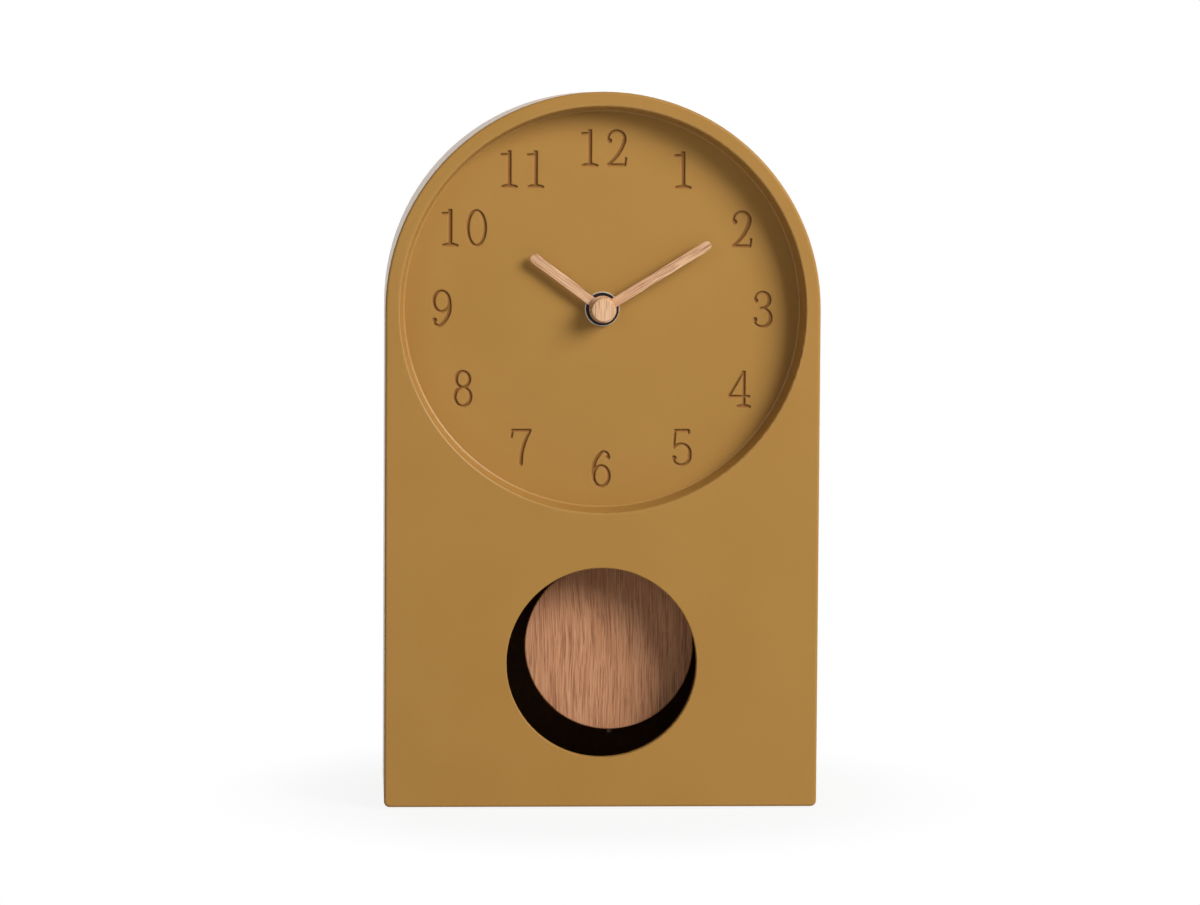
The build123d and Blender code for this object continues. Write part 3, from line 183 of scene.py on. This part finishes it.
class StageLook(bpy.types.PropertyGroup):
    """Floor, light and camera."""

    floor_colour: colour_property("Floor", "Pale floor", (0.6, 0.6, 0.6))
    floor_half: length_property("Floor half width", "Half of the floor's side", 4.0)
    shadow: share_property("Shadow", "How much of the floor's own shading shows next to the clock", 0.1)
    shadow_reach: length_property("Shadow reach", "How far round the clock the floor shows shading", 0.15)
    ambient: number_property("Ambient", "Light from all round", 0.01)
    light_size: length_property("Light size", "Side of the square lights", 1.02)
    light_reach: length_property("Light reach", "Distance from the dial to each light", 2.0)
    key_power: number_property("Key", "Power of the key light in watts", 49.5)
    key_clock: angle_property("Key clock angle", "Direction of the key light on the dial, from twelve", 55)
    key_rise: angle_property("Key rise", "Angle of the key light above the face of the clock", 40)
    fill_power: number_property("Fill", "Power of the fill light in watts", 4.8)
    fill_clock: angle_property("Fill clock angle", "Direction of the fill on the dial, from twelve", 298)
    fill_rise: angle_property("Fill rise", "Angle of the fill light above the face of the clock", 49)
    back_power: number_property("Back", "Power of the light behind the clock in watts", 14.0)
    back_rise: angle_property("Back rise", "Angle of the light behind the clock, negative", -68)
    lens: number_property("Lens", "Focal length in millimetres", 131.24)
    sensor: number_property("Sensor", "Width of the sensor in millimetres", 36.0)
    camera_place: FloatVectorProperty(
        name="Camera",
        description="Place of the camera",
        default=(-0.085, -1.535, 0.245),
        subtype="XYZ",
        unit="LENGTH",
    )
    camera_yaw: angle_property("Yaw", "Turn of the camera about the upright", -3.20)
    camera_pitch: angle_property("Pitch", "Tilt of the camera, down is negative", -3.82)
    camera_roll: angle_property("Roll", "Roll of the camera about its line of sight", -0.36)
    shift_y: FloatProperty(name="Shift", description="Upward shift of the picture", default=-0.05)


class Term:
    """Output of a node. Sums on it add Math nodes."""

    def __init__(self, graph, socket):
        self.graph = graph
        self.socket = socket

    def __add__(self, other):
        return self.graph.math("ADD", self, other)

    def __sub__(self, other):
        return self.graph.math("SUBTRACT", self, other)

    def __rsub__(self, other):
        return self.graph.math("SUBTRACT", other, self)

    def __mul__(self, other):
        return self.graph.math("MULTIPLY", self, other)

    def __truediv__(self, other):
        return self.graph.math("DIVIDE", self, other)

    __radd__ = __add__


class Graph:
    """Node tree of a material or of the world."""

    def __init__(self, tree):
        self.tree = tree

    def feed(self, socket, value):
        """Sets a socket to a value or links a term to it."""
        if isinstance(value, Term):
            self.tree.links.new(value.socket, socket)
        elif socket.type == "RGBA" and len(value) == 3:
            socket.default_value = (*value, 1.0)
        else:
            socket.default_value = value

    def node(self, kind, settings=None, sockets=None, output=0):
        """Adds a node, its settings first and then the values or links of its sockets."""
        made = self.tree.nodes.new(kind)
        for name, value in (settings or {}).items():
            setattr(made, name, value)
        for name, value in (sockets or {}).items():
            self.feed(made.inputs[name], value)
        return Term(self, made.outputs[output])

    def math(self, operation, first, second):
        """Math node on two values."""
        return self.node("ShaderNodeMath", {"operation": operation}, {0: first, 1: second})

    def larger(self, first, second):
        """The larger of two values."""
        return self.math("MAXIMUM", first, second)

    def seen(self):
        """One for rays that show the background itself, in view, in gloss or through glass."""
        kinds = ("Camera", "Glossy", "Transmission")
        rays = [self.node("ShaderNodeLightPath", output=f"Is {kind} Ray") for kind in kinds]
        return self.larger(self.larger(rays[0], rays[1]), rays[2])

    def length(self, *sides):
        """Length of a line from its parts at right angles."""
        squares = [side * side for side in sides]
        return self.node("ShaderNodeMath", {"operation": "SQRT"}, {0: sum(squares[1:], squares[0])})


class Finish(Graph):
    """Material on one Principled shader. Places are in metres in the frame of the part."""

    def __init__(self, name, **fixed):
        self.material = bpy.data.materials.new(name)
        self.material.use_nodes = True
        super().__init__(self.material.node_tree)
        self.shader = self.tree.nodes["Principled BSDF"]
        for socket, value in fixed.items():
            self.set(socket.replace("_", " "), value)
        self.place = self.node("ShaderNodeTexCoord", output="Object")

    def set(self, socket, value):
        """Sets or links a socket of the shader."""
        self.feed(self.shader.inputs[socket], value)

    def stretched(self, place, shares):
        """Place with each of its parts multiplied by a share."""
        return self.node("ShaderNodeVectorMath", {"operation": "MULTIPLY"}, {0: place, 1: shares})

    def turned(self, turn):
        """Place turned about the Y axis, so that what points along the turn stands upright."""
        return self.node("ShaderNodeMapping", {}, {"Vector": self.place, "Rotation": (0, -turn, 0)})

    def part_of(self, place, axis):
        """One part of a place: X, Y or Z."""
        return self.node("ShaderNodeSeparateXYZ", {}, {0: place}, axis)

    def noise(self, place, scale, detail=2.0, roughness=0.5):
        """Cloudy value about one half, finer as the scale grows."""
        sockets = {"Vector": place, "Scale": scale, "Detail": detail, "Roughness": roughness}
        return self.node("ShaderNodeTexNoise", {}, sockets)

    def between(self, value, low, high):
        """Value carried smoothly from low and high to nought and one, and held there."""
        sockets = {"Value": value, "From Min": low, "From Max": high}
        return self.node("ShaderNodeMapRange", {"interpolation_type": "SMOOTHSTEP"}, sockets)

    def mix(self, share, first, second):
        """Colour between two colours."""
        return self.node("ShaderNodeMix", {"data_type": "RGBA"}, {0: share, 6: first, 7: second}, 2)

    def rounded(self, edge):
        """Normal of a surface whose edges show this much rounding."""
        return self.node("ShaderNodeBevel", {"samples": EDGE_SAMPLES}, {"Radius": edge})

    def relief(self, height, depth, edge, within=None):
        """Bump over edges that show this much rounding, everywhere or only where a mask is one."""
        normal = self.rounded(edge)
        if within is not None:
            plain = self.node("ShaderNodeNewGeometry", output="Normal")
            sockets = {0: within, 4: plain, 5: normal}
            normal = self.node("ShaderNodeMix", {"data_type": "VECTOR"}, sockets, 1)
        sockets = {"Height": height, "Distance": depth, "Normal": normal}
        self.set("Normal", self.node("ShaderNodeBump", {}, sockets))


def dress(finish, *names):
    """Gives CAD nodes a finish."""
    for name in names:
        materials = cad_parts[name].data.materials
        materials.clear()
        materials.append(finish.material)


def mustard_plastic(name, look):
    """Matt moulded plastic with faint clouds and a fine grain."""
    finish = Finish(name, IOR=1.46, Specular_IOR_Level=0.15)
    clouds = finish.between(finish.noise(finish.place, scale=28.0), 0.35, 0.65)
    grain = finish.noise(finish.place, scale=1 / look.grain, detail=3.0)
    finish.tint = finish.mix(clouds, look.colour, look.cloud)
    finish.set("Roughness", look.roughness + (grain - 0.5) * 0.16)
    finish.grain = grain
    return finish


def case_plastic(look):
    """Plastic of the case, with a sheen on its sides and recess wall, and a darker mustard behind the
    front panel as painted shade.
    """
    finish = mustard_plastic("case_plastic", look)
    finish.relief(finish.grain, depth=MOULD_BUMP, edge=look.edge)
    low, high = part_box("front_case")
    wall = high.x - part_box("back_cover")[1].x
    arch_height = high.z - high.x
    x, y, z = (finish.part_of(finish.place, axis) for axis in "XYZ")
    from_arch = finish.length(x, finish.larger(z - arch_height, 0.0))
    sides = finish.between(from_arch, high.x - 0.3 * MM, high.x - 0.1 * MM)
    sides = sides * finish.between(y, low.y + 0.6 * MM, low.y + 1.2 * MM)
    within = finish.between(from_arch, high.x - wall * 0.6, high.x - wall * 0.9)
    above = finish.between(z, low.z + wall * 0.6, low.z + wall * 0.9)
    behind = finish.between(y, low.y + 2 * MM, low.y + 4 * MM)
    dial_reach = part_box("dial")[1].x
    from_dial = finish.length(x, z - arch_height)
    off_dial = finish.between(from_dial, dial_reach - 0.3 * MM, dial_reach + 0.3 * MM)
    finish.set("Coat Weight", finish.larger(sides * look.polish, (1 - off_dial) * look.wall_polish))
    finish.set("Coat Roughness", look.sheen)
    hidden = finish.larger(off_dial, finish.between(y, low.y + 14 * MM, low.y + 16 * MM))
    # Painted shade: the inner surfaces behind the front panel take the darker inside colour.
    finish.set("Base Color", finish.mix(within * above * behind * hidden, finish.tint, look.inside))
    return finish


def dial_plastic(look):
    """Plastic of the dial, browner inside the engraved numerals, with painted shade on each stroke's side
    that faces away from the key light and painted light on the side that faces it.
    """
    finish = mustard_plastic("dial_plastic", look)
    low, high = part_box("dial")
    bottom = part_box("nut_washer")[1].y
    x, y, z = (finish.part_of(finish.place, axis) for axis in "XYZ")
    from_middle = finish.length(x, z - (low.z + high.z) / 2)
    numerals = finish.between(from_middle, high.x - 5 * MM, high.x - 7 * MM)
    finish.relief(finish.grain, depth=MOULD_BUMP, edge=look.lip, within=numerals)
    engraved = finish.between(y, bottom + 0.05 * MM, bottom + 0.4 * MM)
    # Painted light and shade: the rounded normal measured against the key light's side picks the paler or
    # darker brown of each stroke.
    sockets = {0: finish.rounded(look.lip), 1: PAINTED_LIGHT_SIDE}
    facing_light = finish.node("ShaderNodeVectorMath", {"operation": "DOT_PRODUCT"}, sockets, "Value")
    stroke = finish.mix(finish.between(facing_light, -0.25, 0.35), look.groove_shade, look.flank)
    finish.set("Base Color", finish.mix(engraved, finish.tint, stroke))
    return finish


def oak(name, look, pale, vein, turn):
    """Fine oak with its grain along a turn from the upright."""
    finish = Finish(name, IOR=1.45, Specular_IOR_Level=0.2)
    drift = finish.noise(finish.place, scale=24.0, detail=1.0)
    sway = {0: drift, 1: (look.sway, 0, 0), 2: finish.turned(turn)}
    grain = finish.node("ShaderNodeVectorMath", {"operation": "MULTIPLY_ADD"}, sway)
    band_place = finish.stretched(grain, (1.0, 1.0, 0.12))
    bands = finish.noise(band_place, scale=130.0, detail=3.0, roughness=0.6)
    streak_place = finish.stretched(grain, (1.0, 1.0, 0.012))
    streaks = finish.noise(streak_place, scale=3300.0, detail=3.0, roughness=0.7)
    pore_place = finish.stretched(grain, (1.0, 1.0, 0.025))
    pores = finish.noise(pore_place, scale=3800.0, detail=2.0, roughness=0.6)
    veins = finish.between(bands * 0.35 + streaks * 0.65, 0.38, 0.62)
    holes = finish.between(pores, 0.52, 0.62)
    wood = finish.mix(veins, pale, vein)
    finish.set("Base Color", finish.mix(holes * 0.7, wood, look.pore))
    finish.set("Roughness", 0.5 + veins * 0.12)
    finish.relief(1 - holes * 0.8 - veins * 0.2, depth=0.03 * MM, edge=look.edge)
    return finish


def dark_plastic(name, colour, edge):
    """Dark moulded plastic with a spark-eroded grain."""
    finish = Finish(name, IOR=1.48, Specular_IOR_Level=0.2)
    grain = finish.noise(finish.place, scale=2200.0, detail=3.0)
    dust = finish.between(finish.noise(finish.place, scale=160.0, detail=4.0), 0.45, 0.75)
    finish.set("Base Color", finish.mix(dust * 0.35, colour, dim(colour, 2)))
    finish.set("Roughness", 0.48 + (grain - 0.5) * 0.25)
    finish.relief(grain, depth=0.03 * MM, edge=edge)
    return finish


def rubber(look):
    """Dull black rubber."""
    finish = Finish("foot_rubber", IOR=1.5, Specular_IOR_Level=0.25)
    grain = finish.noise(finish.place, scale=1500.0, detail=4.0)
    finish.set("Base Color", finish.mix(grain, dim(look.black, 0.6), dim(look.black, 1.6)))
    finish.set("Roughness", 0.75 + grain * 0.2)
    finish.relief(grain, depth=0.04 * MM, edge=0.3 * MM)
    return finish


def plated_metal(name, colour, roughness, edge):
    """Plated or turned metal with fine draw marks."""
    finish = Finish(name, Metallic=1.0)
    marks = finish.noise(finish.stretched(finish.place, (1.0, 0.12, 1.0)), scale=1900.0, detail=3.0)
    clouds = finish.noise(finish.place, scale=300.0, detail=2.0)
    finish.set("Base Color", finish.mix(clouds, dim(colour, 0.86), colour))
    finish.set("Roughness", roughness + (marks - 0.5) * 0.2)
    finish.relief(marks, depth=0.006 * MM, edge=edge)
    return finish


def turned_brass(look, pitch):
    """Brass with the ridges of a fine thread along Y."""
    finish = Finish("turned_brass", Metallic=1.0)
    y = finish.part_of(finish.place, "Y")
    thread = finish.node("ShaderNodeMath", {"operation": "PINGPONG"}, {0: y, 1: pitch / 2}) / (pitch / 2)
    clouds = finish.noise(finish.place, scale=400.0, detail=2.0)
    finish.set("Base Color", finish.mix(clouds, dim(look.brass, 0.8), look.brass))
    finish.set("Roughness", 0.24 + clouds * 0.14)
    finish.relief(thread, depth=0.12 * MM, edge=0.1 * MM)
    return finish


def black_nickel(look):
    """Glossy black plating of the dial nut."""
    finish = Finish("black_nickel", IOR=1.4, Specular_IOR_Level=0.3)
    marks = finish.noise(finish.place, scale=1800.0, detail=3.0)
    finish.set("Base Color", finish.mix(marks, dim(look.black, 0.3), look.black))
    finish.set("Roughness", 0.3 + marks * 0.15)
    finish.relief(marks, depth=0.008 * MM, edge=0.2 * MM)
    return finish


def battery_jacket(look):
    """Printed jacket with a band at the plus end and bare steel ends."""
    finish = Finish("battery_jacket", IOR=1.5)
    low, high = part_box("aa_battery")
    nub = 1.2 * MM
    x = finish.part_of(finish.place, "X")
    band = finish.between(x, high.x - 15 * MM, high.x - 14.8 * MM)
    plus_end = finish.between(x, high.x - nub - 0.6 * MM, high.x - nub - 0.5 * MM)
    minus_end = finish.between(x, low.x + 0.5 * MM, low.x + 0.4 * MM)
    bare = finish.larger(plus_end, minus_end)
    scuffs = finish.noise(finish.stretched(finish.place, (0.3, 1.0, 1.0)), scale=700.0, detail=4.0)
    printed = finish.mix(band, look.jacket, look.band)
    finish.set("Base Color", finish.mix(bare, printed, look.steel))
    finish.set("Metallic", finish.larger(bare, band * 0.6))
    finish.set("Roughness", 0.28 + scuffs * 0.12)
    finish.relief(scuffs - bare * 2, depth=0.02 * MM, edge=0.3 * MM)
    return finish


def board_laminate(look):
    """Solder mask over copper tracks."""
    finish = Finish("board_laminate", IOR=1.5)
    sockets = {"Vector": finish.place, "Scale": 420.0}
    cells = finish.node("ShaderNodeTexVoronoi", {"distance": "MANHATTAN"}, sockets)
    tracks = finish.between(cells, 0.34, 0.42)
    finish.set("Base Color", finish.mix(tracks, look.laminate, look.track))
    finish.set("Roughness", 0.3 + finish.noise(finish.place, scale=1800.0) * 0.15)
    finish.relief(tracks, depth=0.03 * MM, edge=0.08 * MM)
    return finish


def enamelled_wire(look):
    """Copper wire under clear enamel."""
    finish = Finish("enamelled_wire", Metallic=1.0, Coat_Roughness=0.1)
    clouds = finish.noise(finish.place, scale=900.0, detail=3.0)
    finish.set("Base Color", finish.mix(clouds, dim(look.copper, 0.7), look.copper))
    finish.set("Roughness", 0.22 + clouds * 0.16)
    finish.set("Coat Weight", 0.4 + clouds * 0.2)
    return finish


def white_acetal(look):
    """Natural acetal, a little waxy."""
    finish = Finish("gear_plastic", IOR=1.48)
    clouds = finish.noise(finish.place, scale=500.0, detail=3.0)
    finish.set("Base Color", finish.mix(clouds, dim(look.acetal, 0.88), look.acetal))
    finish.set("Roughness", 0.38 + clouds * 0.14)
    finish.relief(clouds, depth=0.01 * MM, edge=0.08 * MM)
    return finish


def ferrite(look):
    """Grey pressed magnet."""
    finish = Finish("magnet_ferrite", Metallic=0.7)
    grit = finish.noise(finish.place, scale=3000.0, detail=4.0, roughness=0.7)
    finish.set("Base Color", finish.mix(grit, dim(look.steel, 0.08), dim(look.steel, 0.3)))
    finish.set("Roughness", 0.45 + grit * 0.2)
    finish.relief(grit, depth=0.02 * MM, edge=0.2 * MM)
    return finish


class ClockOperator:
    """What all operators of this file share."""

    bl_options = {"REGISTER", "UNDO"}


class CLOCK_OT_case(ClockOperator, bpy.types.Operator):
    """Give the case and its sunken dial their mustard plastic."""

    bl_idname = "clock.case"
    bl_label = "Case and dial"

    def execute(self, context):
        look = context.scene.clock_case
        dress(case_plastic(look), "front_case")
        dress(dial_plastic(look), "dial")
        return {"FINISHED"}


class CLOCK_OT_wood(ClockOperator, bpy.types.Operator):
    """Give hands, cap and bob their oak, with the grain along each hand and upright on cap and bob."""

    bl_idname = "clock.wood"
    bl_label = "Wooden pieces"

    def execute(self, context):
        look = context.scene.clock_wood
        pale, vein = look.pale, look.vein
        dress(oak("oak_minute_hand", look, pale, vein, look.minute_turn), "minute_hand")
        dress(oak("oak_hour_hand", look, pale, vein, look.hour_turn), "hour_hand")
        dress(oak("oak_cap", look, pale, vein, UPRIGHT), "hand_cap")
        dress(oak("oak_bob", look, look.bob_pale, look.bob_vein, UPRIGHT), "pendulum_bob")
        return {"FINISHED"}


class CLOCK_OT_shell(ClockOperator, bpy.types.Operator):
    """Give the dark pieces at the back, the feet and the gasket their finishes."""

    bl_idname = "clock.shell"
    bl_label = "Back, housing and feet"

    def execute(self, context):
        look = context.scene.clock_movement
        dress(dark_plastic("back_plastic", look.cover, edge=0.3 * MM), "back_cover")
        dress(
            dark_plastic("housing_plastic", look.black, edge=0.4 * MM),
            "movement_front_housing",
            "movement_rear_housing",
            "setting_knob",
            "pendulum_lever",
            "bob_keeper",
            "driver_chip",
        )
        dress(rubber(look), "feet", "dial_gasket")
        return {"FINISHED"}


class CLOCK_OT_metal(ClockOperator, bpy.types.Operator):
    """Give screws, arbors, contacts and the dial nut their metal."""

    bl_idname = "clock.metal"
    bl_label = "Metal pieces"

    def execute(self, context):
        look = context.scene.clock_movement
        steel = plated_metal("plated_steel", look.steel, roughness=0.3, edge=0.1 * MM)
        dress(
            steel,
            "cover_screws",
            "housing_screws",
            "bridge_screws",
            "keeper_screws",
            "negative_contact",
            "positive_contact",
            "quartz_crystal",
            "stator",
            "clutch_washer",
            "pivot_pin",
            "pivot_clip",
        )
        # The rod's darker steel is painted shade for where it hangs in the bob's shadow.
        dress(plated_metal("rod_steel_painted_shade", look.rod_painted_shade, roughness=0.4, edge=0.1 * MM), "pendulum_rod")
        dress(plated_metal("dull_steel", look.washer, roughness=0.45, edge=0.1 * MM), "nut_washer")
        dress(turned_brass(look, pitch=0.75 * MM), "threaded_bushing")
        dress(plated_metal("brass_shaft", look.brass, roughness=0.25, edge=0.1 * MM), "minute_shaft")
        dress(black_nickel(look), "mounting_nut")
        return {"FINISHED"}


class CLOCK_OT_movement(ClockOperator, bpy.types.Operator):
    """Give wheels, magnets, battery and circuit board their finishes."""

    bl_idname = "clock.movement"
    bl_label = "Movement"

    def execute(self, context):
        look = context.scene.clock_movement
        dress(
            white_acetal(look),
            "first_wheel",
            "second_wheel",
            "third_wheel",
            "centre_wheel",
            "minute_wheel",
            "hour_wheel",
            "rotor",
            "setting_arbor",
            "train_bridge",
            "coil_bobbin",
            "drive_coil_bobbin",
        )
        dress(ferrite(look), "rotor_magnet", "drive_magnet")
        dress(battery_jacket(look), "aa_battery")
        dress(board_laminate(look), "circuit_board")
        return {"FINISHED"}


def wound_coil(name, low, high, axis, pitch, segments):
    """Winding that fills a box about one axis, its surface scalloped by the turns of the wire."""
    centre = (low + high) / 2
    size = high - low
    across = [part for part in range(3) if part != axis]
    radius = min(size[across[0]], size[across[1]]) / 2
    turns = max(2, round(size[axis] / pitch))
    steps = RINGS_PER_TURN
    mesh = bmesh.new()
    rings = []
    for step in range(turns * steps + 1):
        crest = abs(sin(pi * step / steps))
        reach = radius - pitch / 2 * (1 - crest)
        ring = []
        for corner in range(segments):
            turn = 2 * pi * corner / segments
            place = centre.copy()
            place[axis] = low[axis] + size[axis] * step / (turns * steps)
            place[across[0]] += reach * cos(turn)
            place[across[1]] += reach * sin(turn)
            ring.append(mesh.verts.new(place))
        rings.append(ring)
    for first, second in zip(rings, rings[1:]):
        for corner in range(segments):
            after = (corner + 1) % segments
            mesh.faces.new((first[corner], first[after], second[after], second[corner]))
    mesh.faces.new(rings[0])
    mesh.faces.new(rings[-1])
    bmesh.ops.recalc_face_normals(mesh, faces=mesh.faces)
    for face in mesh.faces:
        face.smooth = len(face.verts) == 4
    data = bpy.data.meshes.new(name)
    mesh.to_mesh(data)
    mesh.free()
    piece = bpy.data.objects.new(name, data)
    bpy.context.scene.collection.objects.link(piece)
    return piece


class CLOCK_OT_windings(ClockOperator, bpy.types.Operator):
    """Wind the copper wire of the motor coil and of the drive coil."""

    bl_idname = "clock.windings"
    bl_label = "Windings"

    def execute(self, context):
        look = context.scene.clock_movement
        wire = enamelled_wire(look)
        windings = (("coil_winding", 0, look.motor_wire), ("drive_coil_winding", 1, look.drive_wire))
        for node, axis, pitch in windings:
            piece = wound_coil(node + "_wire", *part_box(node), axis, pitch, look.segments)
            piece.data.materials.append(wire.material)
            dress(wire, node)
            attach(piece, "case")
            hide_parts(node)
        return {"FINISHED"}


class CLOCK_OT_stage(ClockOperator, bpy.types.Operator):
    """Set up the pale floor, the soft light and the camera."""

    bl_idname = "clock.stage"
    bl_label = "Stage"

    def execute(self, context):
        scene = context.scene
        look = scene.clock_stage
        scene.view_settings.view_transform = "Standard"
        self.make_floor(scene, look)
        self.make_world(scene, look)
        self.make_light(scene, look, "key_light", look.key_power, look.key_clock, look.key_rise)
        self.make_light(scene, look, "fill_light", look.fill_power, look.fill_clock, look.fill_rise)
        self.make_light(scene, look, "back_light", look.back_power, UPRIGHT, look.back_rise)
        self.make_camera(scene, look)
        return {"FINISHED"}

    def make_floor(self, scene, look):
        half = look.floor_half
        data = bpy.data.meshes.new("floor")
        corners = [(-half, -half, 0), (half, -half, 0), (half, half, 0), (-half, half, 0)]
        data.from_pydata(corners, [], [range(4)])
        floor = bpy.data.objects.new("floor", data)
        scene.collection.objects.link(floor)
        finish = Finish("floor_paper", Roughness=0.9, Specular_IOR_Level=0.0)
        fibre = finish.noise(finish.place, scale=900.0, detail=3.0)
        tone = look.floor_colour
        finish.set("Base Color", finish.mix(fibre, dim(tone, 0.98), tone))
        away = finish.length(finish.part_of(finish.place, "X"), finish.part_of(finish.place, "Y"))
        near = finish.between(away, look.shadow_reach, cad_high.x)
        white = finish.node("ShaderNodeEmission", {}, {"Color": (1.0, 1.0, 1.0), "Strength": 1.0})
        paper = Term(finish, finish.shader.outputs[0])
        share = finish.seen() * (1 - near * look.shadow)
        shown = finish.node("ShaderNodeMixShader", {}, {0: share, 1: paper, 2: white})
        finish.feed(finish.tree.nodes["Material Output"].inputs["Surface"], shown)
        data.materials.append(finish.material)

    def make_world(self, scene, look):
        scene.world = bpy.data.worlds.new("studio")
        scene.world.use_nodes = True
        graph = Graph(scene.world.node_tree)
        background = graph.tree.nodes["Background"]
        background.inputs["Color"].default_value = (1.0, 1.0, 1.0, 1.0)
        graph.feed(background.inputs["Strength"], look.ambient + graph.seen() * (1 - look.ambient))

    def make_light(self, scene, look, name, power, clock, rise):
        data = bpy.data.lights.new(name, "AREA")
        data.shape = "SQUARE"
        data.size = look.light_size
        data.energy = power
        light = bpy.data.objects.new(name, data)
        light.visible_camera = False
        # A light behind the clock would show as glare along the arch.
        light.visible_glossy = rise > 0
        scene.collection.objects.link(light)
        towards = Vector((cos(rise) * sin(clock), -sin(rise), cos(rise) * cos(clock)))
        low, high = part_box("dial")
        place = Matrix.Translation((low + high) / 2 + towards * look.light_reach)
        light.matrix_world = place @ towards.to_track_quat("Z", "Y").to_matrix().to_4x4()

    def make_camera(self, scene, look):
        data = bpy.data.cameras.new("camera")
        data.lens = look.lens
        data.sensor_width = look.sensor
        data.shift_y = look.shift_y
        camera = bpy.data.objects.new("camera", data)
        scene.collection.objects.link(camera)
        turn = Matrix.Rotation(look.camera_yaw, 4, "Z") @ Matrix.Rotation(look.camera_pitch, 4, "X")
        turn = turn @ Matrix.Rotation(look.camera_roll, 4, "Y") @ Matrix.Rotation(pi / 2, 4, "X")
        camera.matrix_world = Matrix.Translation(look.camera_place) @ turn
        scene.camera = camera


STEPS = (
    CLOCK_OT_case,
    CLOCK_OT_wood,
    CLOCK_OT_shell,
    CLOCK_OT_metal,
    CLOCK_OT_movement,
    CLOCK_OT_windings,
    CLOCK_OT_stage,
)
LOOKS = {
    "clock_case": CaseLook,
    "clock_wood": WoodLook,
    "clock_movement": MovementLook,
    "clock_stage": StageLook,
}


class CLOCK_PT_panel(bpy.types.Panel):
    """Lists the steps and what can be changed in them."""

    bl_idname = "CLOCK_PT_panel"
    bl_label = "Desk pendulum clock"
    bl_space_type = "VIEW_3D"
    bl_region_type = "UI"
    bl_category = "Clock"

    def draw(self, context):
        for step in STEPS:
            self.layout.operator(step.bl_idname)
        for name, look in LOOKS.items():
            box = self.layout.box()
            for setting in look.__annotations__:
                box.prop(getattr(context.scene, name), setting)


def register():
    """Adds the settings, operators and panel to Blender."""
    for name, look in LOOKS.items():
        bpy.utils.register_class(look)
        setattr(bpy.types.Scene, name, PointerProperty(type=look))
    for step in STEPS:
        bpy.utils.register_class(step)
    bpy.utils.register_class(CLOCK_PT_panel)


def unregister():
    """Takes the panel, operators and settings out of Blender."""
    bpy.utils.unregister_class(CLOCK_PT_panel)
    for step in reversed(STEPS):
        bpy.utils.unregister_class(step)
    for name, look in LOOKS.items():
        delattr(bpy.types.Scene, name)
        bpy.utils.unregister_class(look)


def main():
    """Makes the whole scene."""
    register()
    bpy.ops.clock.case()
    bpy.ops.clock.wood()
    bpy.ops.clock.shell()
    bpy.ops.clock.metal()
    bpy.ops.clock.movement()
    bpy.ops.clock.windings()
    bpy.ops.clock.stage()


if __name__ == "__main__":
    main()
